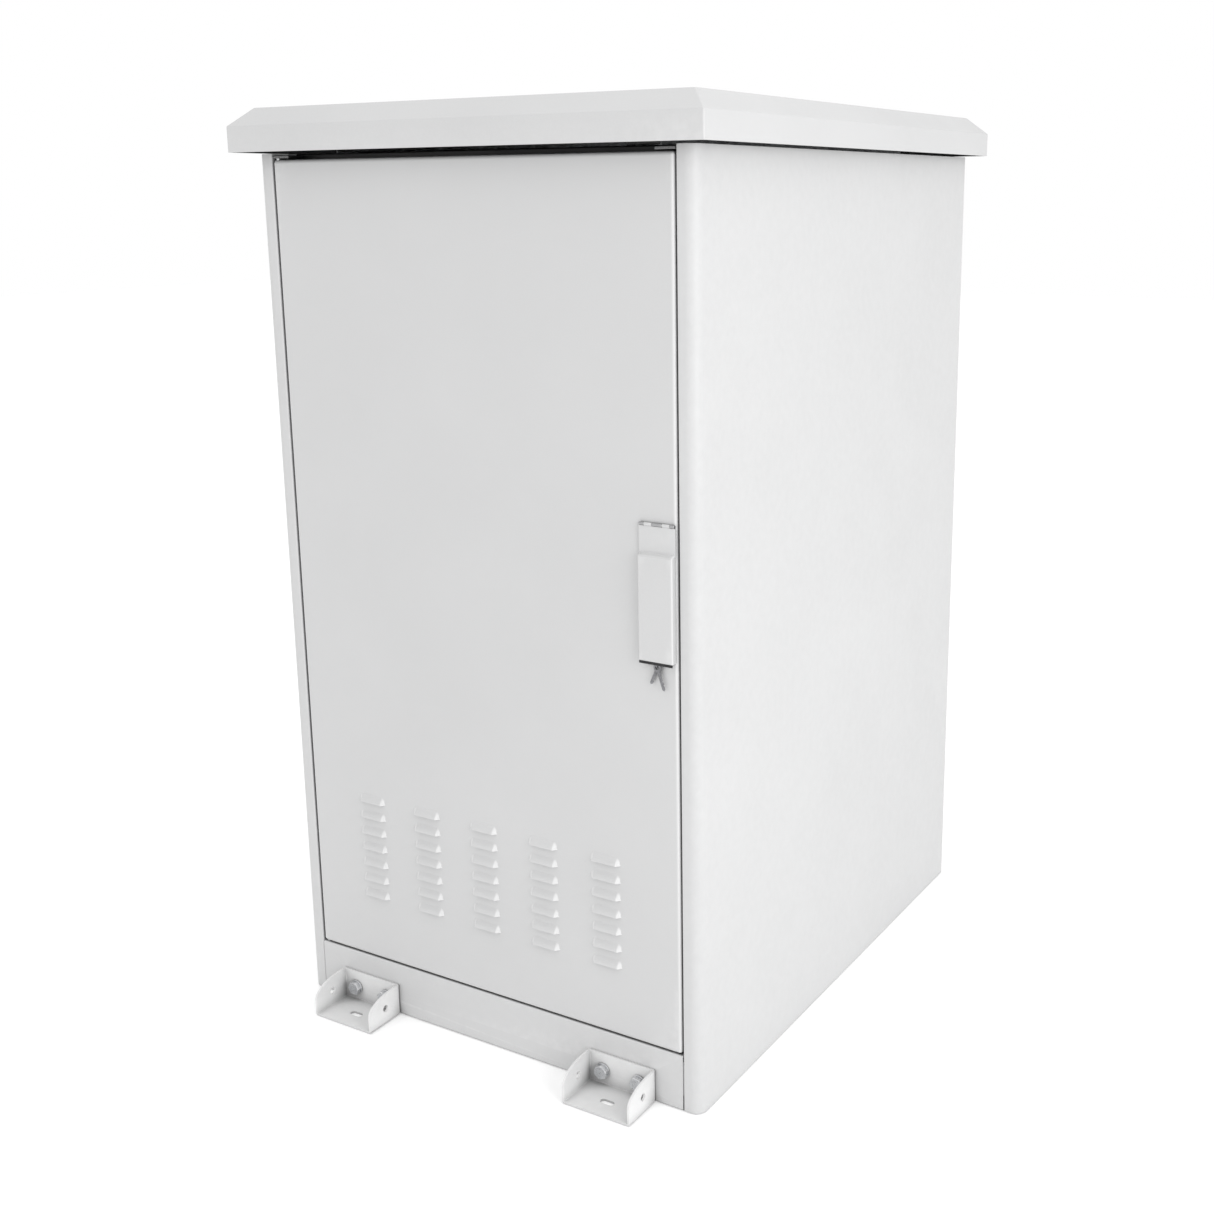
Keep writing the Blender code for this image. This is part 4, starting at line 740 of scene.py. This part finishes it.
def bracket_holes():
    middles = [middle_of(f"bracket_bolt_front_{name}") for name in ("left_a", "left_b", "right_a", "right_b")]
    return [circle(middle.xz, BOLT_HOLE, 24) for middle in middles]


def rod_opening(node, gap=ROD_GAP):
    """A slot in plan that clears a rod by the gap all round."""
    rod_low, rod_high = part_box(node)
    x = (rod_low.x + rod_high.x) / 2
    half = ROD_RADIUS + gap
    return rectangle(x - half, x + half, rod_low.y - gap, rod_high.y + gap)


def pivot_circle(radius=PIVOT_HOLE):
    return circle(PIVOT, radius, 24)


def make_plinth():
    top, foot = PLINTH_HIGH.z, 0.002
    points = [(PLINTH_HIGH.y, top), (FRONT, top), (FRONT, 0.0), (LANDING_Y - foot, 0.0)]
    path = fillet(points, [0.0, BEND, BEND, 0.0])
    plinth = strip("plinth_front", "X", path, [PLINTH_LOW.x, PLINTH_HIGH.x])
    pierce(plinth, "Y", bracket_holes(), FRONT)
    pierce(plinth, "Z", [rod_opening("lower_rod"), pivot_circle(PLINTH_PIVOT_HOLE)], top)
    finish_piece(soften(plinth), "plinth_panel")


def make_sill():
    low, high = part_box("door_sill")
    path = fillet([(low.y, high.z), (low.y, low.z), (high.y, low.z)], [0.0, BEND, 0.0])
    sill = strip("sill_angle", "X", path, [low.x, high.x])
    finish_piece(soften(sill), "door_sill")


def make_lintel():
    """The angle over the doorway, with the lugs that hold the upper pivot and keep the upper rod."""
    low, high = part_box("door_lintel")
    path = fillet([(high.y, high.z), (LANDING_Y, high.z), (LANDING_Y, low.z)], [0.0, BEND, 0.0])
    half = LANDING_X - FIT
    lintel = strip("lintel_angle", "X", path, [-half, half])
    reach, inset, relief, under, over = 0.001, 0.012, 0.002, 0.002, 0.005
    outer, inner, step = DOOR_HALF + reach, LANDING_X - inset, LANDING_X - relief
    notch, root = LANDING_Y - FIT, LANDING_Y + SHEET / 3
    shape = [(inner, low.y), (outer, low.y), (outer, notch), (step, notch), (step, root), (inner, root)]
    lugs = [[(side * x, y) for x, y in shape] for side in (-1, 1)]
    lug_low, lug_high = DOOR_HIGH.z + under, DOOR_HIGH.z + over
    join(lintel, prism("Z", lugs, lug_low, lug_high))
    openings = [pivot_circle(), rod_opening("upper_rod")]
    carve(lintel, prism("Z", openings, lug_low - FIT, lug_high + FIT))
    finish_piece(soften(lintel), "door_lintel", coat=DEEP_SHADE_COAT)


def simple_pan(name, half_x, half_y, depth, radius=BEND, thickness=SHEET):
    """A pan with plain sides, facing +Z, with its face at height 0."""
    xs = spaced(-half_x + radius, half_x - radius, 6)
    ys = spaced(-half_y + radius, half_y - radius, 6)
    profile = fillet([(0.0, 0.0), (radius, 0.0), (radius, depth)], [0.0, radius * 0.999, 0.0])
    return pan(name, xs, ys, profile, radius, thickness=thickness)


def make_back_panel():
    depth = BACK_HIGH.y - BACK_LOW.y
    half_z = (BACK_HIGH.z - BACK_LOW.z) / 2
    panel = simple_pan("rear_cover", BACK_HIGH.x, half_z, depth)
    middle = Vector((0.0, BACK, (BACK_HIGH.z + BACK_LOW.z) / 2))
    panel.data.transform(shifted(middle) @ FACE_BACK)
    pierce(panel, "Y", bracket_holes(), BACK)
    finish_piece(soften(panel), "back_panel")


def make_back_screws():
    side_x, inner_x, lowest, highest, top = 0.285, 0.095, 0.120, 1.120, 1.145
    heads = [(x, BACK, z) for x in (-side_x, side_x) for z in spaced(lowest, highest, 4)]
    heads += [(x, BACK, z) for x in (-inner_x, inner_x) for z in (top, lowest)]
    screws = [moved(pan_head(), shifted(place) @ FACE_BACK) for place in heads]
    finish_extra(join(new_piece("rear_cover_screws", screws[0]), *screws[1:]), "zinc_fastener", "cabinet")


def pan_head():
    """A domed screw head with a round recess, on a thin washer, standing on z = 0."""
    radius, height, washer, edge, floor = 0.0042, 0.0024, 0.0007, 0.0003, 0.0012
    arc = [(radius * cos(a), washer + height * 0.2 + (height * 0.8) * sin(a))
           for a in spaced(0.0, radians(68.0), 6)]
    recess = radius * 0.37
    profile = [(0.0, 0.0), (radius * 1.45, 0.0), (radius * 1.5, edge), (radius * 1.45, washer),
               (radius, washer), *arc, (recess, arc[-1][1]), (recess, floor), (0.0, floor)]
    return lathe(profile, 24)


def make_floor_and_ceiling():
    """Two pans, pierced for the cable glands and the fan."""
    for name, node, fittings, hole, steps in (
            ("floor_pan", "floor_tray", ("cable_gland_left", "cable_gland_right"), 0.0163, 32),
            ("ceiling_pan", "ceiling_plate", ("fan_frame",), 0.057, 64)):
        low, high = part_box(node)
        piece = simple_pan(name, high.x, (high.y - low.y) / 2, high.z - low.z)
        piece.data.transform(shifted((0.0, (high.y + low.y) / 2, high.z)))
        pierce(piece, "Z", [circle(middle_of(fitting).xy, hole, steps) for fitting in fittings], high.z)
        finish_piece(soften(piece), node)


def make_shelves():
    low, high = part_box("battery_shelf_lower")
    shelf = simple_pan("shelf_work", high.x, high.y, high.z - low.z)
    slot_xs, slot_ys, arm, radius = (-0.150, -0.050, 0.050, 0.150), (-0.130, 0.130), 0.084, 0.006
    slots = [stadium((x, y), arm, radius, pi / 2) for x in slot_xs for y in slot_ys]
    pierce(shelf, "Z", slots, 0.0)
    shape = take_mesh(soften(shelf))
    for node in ("battery_shelf_lower", "battery_shelf_middle", "battery_shelf_upper"):
        place = shifted((0.0, 0.0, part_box(node)[1].z))
        finish_piece(new_piece(node.replace("battery_shelf", "shelf_tray"), moved(shape.copy(), place)), node)


def make_canopy():
    """Upright lips, a chamfer, and a flat top."""
    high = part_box("roof_canopy")[1]
    chamfer_x, chamfer_z, lip, flat = 0.025, 0.023, 0.032, 0.004
    fold, sheet, edge = 0.003, 0.002, 0.0004
    half_x, half_y = high.x - chamfer_x - flat, high.y - chamfer_x - flat
    points = [(0.0, 0.0), (flat, 0.0), (flat + chamfer_x, chamfer_z), (flat + chamfer_x, chamfer_z + lip)]
    profile = fillet(points, [0.0, fold, fold, 0.0])
    canopy = pan("roof_cover", spaced(-half_x, half_x, 8), spaced(-half_y, half_y, 8), profile,
                 sheet, thickness=sheet)
    canopy.data.transform(shifted((0.0, 0.0, high.z)))
    finish_piece(soften(canopy, edge), "roof_canopy", coat=DEEP_SHADE_COAT)


def rack_levels(low, high):
    """The heights at which a column of rack holes starts and stops."""
    base, margin = low + 0.012, 0.008
    levels = [low]
    for unit in range(RACK_UNITS):
        for offset in RACK_OFFSETS:
            centre = base + unit * RACK_UNIT + offset
            if centre + margin < high:
                levels += [centre - RACK_HOLE_HALF, centre + RACK_HOLE_HALF]
    return levels + [high]


def make_posts():
    """Rack posts with square holes at the 19 inch spacing."""
    low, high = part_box("mounting_post_front_right")
    column = low.x + (high.x - low.x) * 0.56
    points = [(low.x, high.y), (low.x, low.y), (column - RACK_HOLE_HALF, low.y),
              (column + RACK_HOLE_HALF, low.y), (high.x, low.y)]
    path = fillet(points, [0.0, BEND, 0.0, 0.0, 0.0])
    open_step = len(path) - 3
    levels = rack_levels(low.z, high.z)
    for end, y_sign in (("front", 1), ("rear", -1)):
        for side, x_sign in (("left", -1), ("right", 1)):
            line = [(x_sign * x, y_sign * y) for x, y in path]
            skip = open_step
            if x_sign * y_sign < 0:
                line.reverse()
                skip = len(path) - 2 - open_step
            post = strip(f"rack_post_{end}_{side}", "Z", line, levels,
                         lambda step, level, skip=skip: step == skip and level % 2 == 1)
            finish_piece(soften(post, 0.0002), f"mounting_post_{end}_{side}")


# ---- floor brackets

def bracket_mesh():
    """One bracket with its back face at y = 0: a folded box with cut-away ears."""
    low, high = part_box("anchor_bracket_front_left")
    half, depth, height = (high.x - low.x) / 2, high.y - low.y, high.z
    sheet, reach, bend = 0.003, 0.010, 0.0035
    x0, x1, y0, y1, z1 = -half, half, -depth - reach, 0.0, height + reach
    bm = bmesh.new()
    plan = ((x0, y0), (x0, y1), (x1, y1), (x1, y0))
    foot = [bm.verts.new((x, y, 0.0)) for x, y in plan]
    crown = [bm.verts.new((x, y, z1)) for x, y in plan]
    bm.faces.new(foot)
    for index in range(3):
        bm.faces.new((foot[index], crown[index], crown[index + 1], foot[index + 1]))
    folds = [edge for edge in bm.edges if len(edge.link_faces) == 2]
    bmesh.ops.bevel(bm, geom=folds, offset=bend, segments=6, profile=0.5, affect="EDGES")
    bracket = thicken(new_piece("bracket_work", from_bmesh(bm)), sheet)
    side_view = prism("X", [ear_outline(depth, height, reach)], x0 - reach, x1 + reach)
    carve(bracket, side_view, operation="INTERSECT")
    ear_hole, ear_radius = (-0.030, 0.023), 0.0050
    slot_place, slot_arm, slot_radius = (0.0, -0.035), 0.0055, 0.0045
    bolt_x, bolt_z = 0.027, 0.022
    carve(bracket, prism("X", [circle(ear_hole, ear_radius)], x0 - reach, x1 + reach),
          prism("Z", [stadium(slot_place, slot_arm, slot_radius)], -reach, reach),
          prism("Y", [circle((side * bolt_x, bolt_z), BOLT_HOLE) for side in (-1, 1)], -reach, reach))
    return take_mesh(soften(bracket, 0.0005, 2, 45.0))


def ear_outline(depth, height, reach):
    """What stays of a bracket in side view: its ears end in a quarter ellipse."""
    flat, front = 0.014, 0.024
    outline = [(-depth, -reach), (reach, -reach), (reach, height), (-flat, height)]
    for angle in spaced(0.0, pi / 2, 20)[1:]:
        outline.append((-flat - (depth - flat) * sin(angle), front + (height - front) * cos(angle)))
    return outline


def make_brackets():
    shape = bracket_mesh()
    for end in ("front", "rear"):
        turn = Matrix.Rotation(0.0 if end == "front" else pi, 4, "Z")
        for side in ("left", "right"):
            node = f"anchor_bracket_{end}_{side}"
            low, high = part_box(node)
            back = high.y if end == "front" else low.y
            place = shifted((middle_of(node).x, back, 0.0)) @ turn
            piece = new_piece(f"floor_bracket_{end}_{side}", moved(shape.copy(), place))
            finish_piece(piece, node, coat=BRACKET_COAT)


def bolt_mesh():
    """A hex bolt standing on z = 0: washer, chamfered head and threaded shank."""
    across, count, edge, dish, slope = 0.0098, 72, 0.0004, 0.0002, radians(30.0)
    top, rim, shoulder = BOLT_WASHER + BOLT_HEAD, across * 0.90, 0.0003
    bm = bmesh.new()
    rings = [[], [], [], []]
    for angle in spaced(0.0, 2 * pi, count)[:-1]:
        hexagon = across * cos(pi / 6) / cos((angle % (pi / 3)) - pi / 6)
        drop = max(0.0, hexagon - rim) * tan(slope)
        spots = ((hexagon, BOLT_WASHER), (hexagon, top - drop - shoulder),
                 (min(hexagon, rim) - edge, top), (rim * 0.55, top - dish))
        for ring, (radius, height) in zip(rings, spots):
            ring.append(bm.verts.new((radius * cos(angle), radius * sin(angle), height)))
    skin(bm, rings)
    bm.faces.new(rings[-1])
    washer, high = 0.010, BOLT_WASHER
    bm.from_mesh(lathe([(0.0, 0.0), (washer - edge, 0.0), (washer, edge), (washer, high - edge),
                        (washer - edge, high), (0.0, high)]))
    crest, root, pitch, end, seat = 0.0050, 0.0044, 0.001, -0.0201, 0.0001
    shank = [(0.0, end - pitch / 2), (0.0040, end - pitch / 2)]
    for turn in range(20):
        shank += [(crest, end + turn * pitch), (root, end + pitch / 2 + turn * pitch)]
    bm.from_mesh(lathe(shank + [(crest, seat), (0.0, seat)], 24))
    return from_bmesh(bm)


def make_bracket_bolts():
    """The bolts, each turned to an angle of its own."""
    shape = bolt_mesh()
    turns = {"left_a": 7.0, "left_b": 41.0, "right_a": 22.0, "right_b": 53.0}
    length = BOLT_WASHER + BOLT_HEAD
    for end in ("front", "rear"):
        for name, degrees in turns.items():
            node = f"bracket_bolt_{end}_{name}"
            low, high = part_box(node)
            middle = middle_of(node)
            seat = low.y + length if end == "front" else high.y - length
            turn = FACE_FRONT if end == "front" else FACE_BACK
            place = shifted((middle.x, seat, middle.z)) @ turn
            spin = Matrix.Rotation(radians(degrees), 4, "Z")
            piece = new_piece(f"hex_bolt_{end}_{name}", moved(shape.copy(), place @ spin))
            finish_piece(piece, node, angle=28.0)


# ---- door

def louvre_lift(x, z):
    """How far the door's face stands out at (x, z): a half-round hood, tapered at both ends."""
    row = round((z - LOUVRE_LOWEST - LOUVRE_HEIGHT / 2) / LOUVRE_PITCH_Z)
    row = min(max(row, 0), LOUVRE_ROWS - 1)
    column = min(max(round(x / LOUVRE_PITCH_X), -(LOUVRE_COLUMNS // 2)), LOUVRE_COLUMNS // 2)
    up = (z - LOUVRE_LOWEST - row * LOUVRE_PITCH_Z) / LOUVRE_HEIGHT
    over = abs(x - column * LOUVRE_PITCH_X) - (LOUVRE_HALF - LOUVRE_END)
    reach = hypot(max(0.0, over / LOUVRE_END), max(0.0, up))
    if reach >= 1.0 or up < -1e-6:
        return 0.0
    return LOUVRE_PROUD * (1.0 - reach * reach) ** 1.6


def door_grid(half_x, half_z, middle_z):
    """The lines of the door's face, close together at the louvres, and the louvres' slits."""
    outer, inner, hood, foot = 0.285, 0.240, (0.0, 0.005, 0.011), 0.0015
    xs = {-half_x, half_x, -outer, outer, -inner, inner}
    zs = {-half_z, half_z, *spaced(0.40 - middle_z, 1.10 - middle_z, 5)}
    lines = [LOUVRE_LOWEST + row * LOUVRE_PITCH_Z - middle_z for row in range(LOUVRE_ROWS)]
    for z in lines:
        zs |= {z - foot, *spaced(z, z + LOUVRE_HEIGHT, 9)}
    slits = []
    for column in range(-(LOUVRE_COLUMNS // 2), LOUVRE_COLUMNS // 2 + 1):
        x = column * LOUVRE_PITCH_X
        for offset in (*spaced(LOUVRE_HALF - LOUVRE_END, LOUVRE_HALF, 5), *hood):
            xs |= {x - offset, x + offset}
        slits += [(x - LOUVRE_HALF, x + LOUVRE_HALF, z) for z in lines]
    return sorted(xs), sorted(zs), slits


def make_door():
    half_z, middle_z = (DOOR_HIGH.z - DOOR_LOW.z) / 2, (DOOR_HIGH.z + DOOR_LOW.z) / 2
    xs, zs, slits = door_grid(DOOR_HALF - DOOR_BEND, half_z - DOOR_BEND, middle_z)
    depth, lip = DOOR_HIGH.y - FRONT, 0.010
    points = [(0.0, 0.0), (DOOR_BEND, 0.0), (DOOR_BEND, depth), (DOOR_BEND - lip, depth)]
    profile = fillet(points, [0.0, DOOR_BEND * 0.999, BEND * 0.7, 0.0])
    door = pan("door_skin", xs, zs, profile, DOOR_BEND,
               lift=lambda x, z: louvre_lift(x, z + middle_z), slits=slits)
    door.data.transform(shifted((0.0, FRONT, middle_z)) @ FACE_FRONT)
    pierce(door, "Y", [circle((LOCK.x, LOCK.z), LOCK_HOLE)], FRONT)
    for node, z in (("upper_rod", DOOR_HIGH.z), ("lower_rod", DOOR_LOW.z)):
        pierce(door, "Z", [pivot_circle(), rod_opening(node, DOOR_ROD_GAP)], z)
    finish_piece(door, "door_panel", coat=DOOR_COAT, angle=32.0)


def make_stiffener():
    low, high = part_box("door_stiffener")
    sheet, flange, foot, crown, fold, crown_fold = 0.0012, 0.045, 0.028, 0.022, 0.0015, 0.0025
    half = [(-flange, low.y), (-foot, low.y), (-crown, high.y - sheet)]
    points = half + [(-x, y) for x, y in reversed(half)]
    path = fillet(points, [0.0, fold, crown_fold, crown_fold, fold, 0.0])
    piece = strip("stiffener_hat", "Z", path, [low.z, high.z], thickness=sheet)
    finish_piece(soften(piece, 0.0002), "door_stiffener")


def make_gasket():
    """A bulb seal round the back of the door."""
    low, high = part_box("door_gasket")
    half_x, half_z = (high.x - low.x) / 2, (high.z - low.z) / 2
    width, depth, corner, foot = 0.009, high.y - low.y, 0.012, 0.0005
    section = fillet([(0.0, 0.0), (0.0, depth), (width, depth), (width, 0.0)],
                     [foot, width * 0.28, width * 0.28, foot], steps=5, closed=True)
    bm = bmesh.new()
    rings = []
    for inset, out in section:
        u, v = half_x - inset, half_z - inset
        rings.append([bm.verts.new((x, out, y)) for x, y in rectangle(-u, u, -v, v, corner - inset)])
    skin(bm, rings, closed=True)
    place = shifted((0.0, low.y, (low.z + high.z) / 2))
    finish_piece(new_piece("door_seal", moved(closed_mesh(bm), place)), "door_gasket")


# ---- lock, flap and keys

def make_lock():
    """The bezel and barrel in the door, and the plug that turns in them."""
    place = shifted(LOCK) @ FACE_FRONT
    bore, bezel, crown, barrel, proud, edge, back = 0.0063, 0.016, 0.0142, 0.011, 0.005, 0.0004, -0.0095
    rim = fillet([(bore, proud), (crown, proud), (bezel, 0.0035), (bezel, FIT)], [0.0, 0.0008, 0.0012, 0.0])
    profile = [(bore, proud - edge), (bore + edge, proud), *rim[1:], (barrel, FIT), (barrel, back),
               (bore, back)]
    finish_piece(new_piece("lock_bezel", moved(lathe(profile, 64), place)), "lock_housing")
    plug, shaft, face, dished, collar, tail = 0.006, 0.004, 0.0046, 0.0042, -0.009, -0.0185
    profile = [(0.0, dished), (0.0025, face), (plug - edge, face), (plug, face - edge), (plug, collar),
               (shaft, collar), (shaft, tail), (0.0, tail)]
    rotor = new_piece("lock_plug", moved(lathe(profile, 48), place))
    half_width, half_height = 0.0008, 0.004
    keyway = [rectangle(LOCK.x - half_width, LOCK.x + half_width, LOCK.z - half_height, LOCK.z + half_height)]
    carve(rotor, prism("Y", keyway, FRONT - 0.006, FRONT - 0.001))
    finish_piece(rotor, "lock_rotor")


def knuckle(start, end, radius=KNUCKLE, bore=0.0):
    """A knuckle of the flap's hinge with rounded ends, bored through when bore is above 0."""
    edge = radius * 0.18
    profile = [(bore, start), (radius - edge, start), (radius, start + edge), (radius, end - edge),
               (radius - edge, end), (bore, end)]
    turn = Matrix.Rotation(pi / 2, 4, "Y")
    return moved(lathe(profile, 24), shifted(HINGE) @ turn)


def make_flap():
    """A raised box over the lock, with a flat leaf and two knuckles above it."""
    sheet, half, shoulder, slope, radius, leaf_half = 0.0013, 0.0235, 0.711, 0.004, 0.0022, 0.0245
    front, rear = FLAP_LOW.y, FRONT - 0.0005
    half_z = (shoulder - FLAP_LOW.z) / 2
    flap = simple_pan("flap_cover", half, half_z, rear - front, radius, sheet)
    flap.data.transform(shifted((LOCK.x, front, FLAP_LOW.z + half_z)) @ FACE_FRONT)
    for vert in flap.data.vertices:
        if vert.co.z > shoulder - radius - 0.0001:
            vert.co.z -= slope * (rear - vert.co.y) / (rear - front)
    notch_half, notch_high = 0.0075, 0.003
    carve(flap, block((LOCK.x - notch_half, front + sheet, FLAP_LOW.z - OVERCUT),
                      (LOCK.x + notch_half, FRONT + OVERCUT, FLAP_LOW.z + notch_high)))
    leaf_front, bite, shy = FRONT - 0.0028, 0.001, 0.0001
    outline = rectangle(LOCK.x - leaf_half, LOCK.x + leaf_half, shoulder - 0.004, LEAF_TOP, 0.0012)
    extras = [plate("Y", outline, [], leaf_front, leaf_front + sheet)]
    for start, end in ((-0.0172, -0.007), (0.007, 0.0172)):
        extras.append(knuckle(start, end, bore=HINGE_BORE))
        extras.append(block((LOCK.x + start, leaf_front + shy, LEAF_TOP - bite),
                            (LOCK.x + end, leaf_front + sheet - shy, HINGE.z - 0.0014)))
    finish_piece(join(soften(flap, 0.0002), *extras), "lock_flap", coat=FLAP_COAT)


def make_flap_hinge():
    """The hinge's fixed leaf, its pin and the three knuckles that hold it."""
    rear, sheet, half, foot, arm, shy, bite = FRONT - FIT, 0.0009, 0.022, 0.716, 0.0215, 0.0001, 0.001
    leaf = plate("Y", rectangle(LOCK.x - half, LOCK.x + half, foot, LEAF_TOP, 0.001), [], rear - sheet, rear)
    extras = [knuckle(-0.0235, 0.0235, HINGE_PIN)]
    for start, end in ((-0.024, -0.0175), (-0.0067, 0.0067), (0.0175, 0.024)):
        extras.append(knuckle(start, end))
        extras.append(block((LOCK.x + max(start, -arm), rear - sheet + shy, LEAF_TOP - bite),
                            (LOCK.x + min(end, arm), rear - shy, HINGE.z)))
    finish_piece(join(new_piece("flap_hinge_leaf", leaf), *extras), "flap_hinge", coat=HINGE_ZINC_PAINTED_SHADE)


def make_flap_edging_painted_shade():
    """A black rubber edging along the flap's lower edge, in front of the key loop; its black is partly
    painted shade, standing for the dark shadow line under the flap.
    """
    half, under, over, front, back = 0.0228, 0.0028, 0.0004, 0.0002, 0.0016
    edging = new_piece("flap_edging", block((LOCK.x - half, FLAP_LOW.y + front, FLAP_LOW.z - under),
                                            (LOCK.x + half, FLAP_LOW.y + back, FLAP_LOW.z + over)))
    finish_extra(soften(edging, 0.0005, 4), "seal_rubber", "flap")


def tube(points, radius, sides=12):
    """A round wire along a closed line of points in the (y, z) plane."""
    bm = bmesh.new()
    rings = []
    for index, point in enumerate(points):
        before, after = Vector(points[index - 1]), Vector(points[(index + 1) % len(points)])
        way = (after - before).normalized()
        out = Vector((0.0, way.y, -way.x))
        middle = Vector((LOCK.x, *point))
        rings.append([bm.verts.new(middle + out * u + Vector((v, 0.0, 0.0)))
                      for u, v in circle((0.0, 0.0), radius, sides)])
    skin(bm, rings, closed=True)
    return closed_mesh(bm)


def key_outline(length, lean, eye_z):
    """A round bow and a narrow blade with two bites, leaning about the key's eye."""
    bow, neck, bite, tip, flank = 0.005, 0.0020, 0.0008, 0.002, 0.0015
    start = asin(neck / bow)
    points = [(bow * cos(a), bow * sin(a)) for a in spaced(start - pi / 2, 3 * pi / 2 - start, 32)]
    blade = [(-neck, tip), (0.0, 0.0), (neck, tip)]
    for cut in (0.0065, 0.0115):
        blade += [(neck, cut - flank), (bite, cut), (neck, cut + flank)]
    points += [(u, v - length) for u, v in blade]
    along_u, along_v = cos(lean), sin(lean)
    return [(LOCK.x + u * along_u - v * along_v, eye_z + u * along_v + v * along_u) for u, v in points]


def make_keys():
    low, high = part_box("key_loop")
    wire, bend, below, eye_radius, edge = 0.0007, 0.002, 0.0006, 0.0025, 0.00015
    middle_y = (low.y + high.y) / 2
    top, bottom = high.z - wire, low.z + wire
    arm = (top - bottom) / 2 - bend
    loop = stadium((middle_y, (top + bottom) / 2), arm, bend, pi / 2)
    finish_piece(new_piece("key_ring", tube(loop, wire)), "key_loop")
    eye_z = bottom - below
    eye = circle((LOCK.x, eye_z), eye_radius, 24)
    for node, name, length, lean in (("key_one", "key_long", 0.029, 19.0),
                                     ("key_two", "key_short", 0.024, -24.0)):
        key_low, key_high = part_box(node)
        outline = key_outline(length, radians(lean), eye_z)
        finish_piece(new_piece(name, plate("Y", outline, [eye], key_low.y, key_high.y, edge)), node)


# ---- carried-over fittings

def refine_fittings():
    widths = {
        0.0003: ("lower_pivot_bracket", "upper_pivot_pin", "rod_cam", "upper_rod", "lower_rod",
                 "key_staple", "fan_guard", "breaker_panel"),
        0.0004: ("roof_rail_left", "roof_rail_right", "filter_frame", "earth_bar"),
        0.0005: ("fan_rotor", "cable_gland_left", "cable_gland_right"),
        0.0006: ("rod_guide_upper", "rod_guide_lower", "breaker_toggle"),
        0.0008: ("fan_frame", "dc_breaker"),
        0.0012: ("dust_filter",),
    }
    for width, nodes in widths.items():
        for node in nodes:
            refine(node, width)


# ---- studio

def make_studio():
    bm = bmesh.new()
    drop = shifted((0.0, 0.0, -FLOOR_DROP))
    bmesh.ops.create_grid(bm, x_segments=40, y_segments=40, size=FLOOR_SIZE, matrix=drop)
    floor = new_piece("studio_floor", from_bmesh(bm))
    floor.data.materials.append(studio_floor())
    world = bpy.data.worlds.new("soft_studio")
    world.use_nodes = True
    world.node_tree.nodes["Background"].inputs["Color"].default_value = (1.0, 1.0, 1.0, 1.0)
    bpy.context.scene.world = world
    bpy.context.scene.view_settings.view_transform = "Standard"
    for softbox in SOFTBOXES:
        add_light(*softbox)


def add_light(name, place, target, size, power):
    light = bpy.data.lights.new(name, "AREA")
    light.shape = "DISK"
    light.size = size
    light.energy = power
    obj = new_piece(name, light)
    obj.location = place
    way = Vector(target) - Vector(place)
    obj.rotation_euler = way.to_track_quat("-Z", "Y").to_euler()


def make_camera():
    """The photograph's viewpoint: 30.5 degrees round to the right, looking down 13 degrees."""
    yaw, pitch, roll = (radians(angle) for angle in CAMERA_TURN)
    forward = Vector((sin(yaw) * cos(pitch), cos(yaw) * cos(pitch), -sin(pitch)))
    level = Vector((cos(yaw), -sin(yaw), 0.0))
    down = forward.cross(level)
    right = level * cos(roll) + down * sin(roll)
    up = level * sin(roll) - down * cos(roll)
    camera = bpy.data.cameras.new("camera")
    camera.lens = CAMERA_LENS
    camera.shift_x, camera.shift_y = CAMERA_SHIFT
    obj = new_piece("camera", camera)
    obj.matrix_world = shifted(CAMERA_PLACE) @ Matrix((right, up, -forward)).transposed().to_4x4()
    bpy.context.scene.camera = obj


# ---- build

def main():
    for build in (make_side_panels, make_plinth, make_sill, make_lintel, make_back_panel,
                  make_back_screws, make_floor_and_ceiling, make_shelves, make_posts, make_canopy,
                  make_brackets, make_bracket_bolts, make_door, make_stiffener, make_gasket, make_lock,
                  make_flap, make_flap_hinge, make_flap_edging_painted_shade, make_keys, refine_fittings, make_studio,
                  make_camera):
        build()


main()
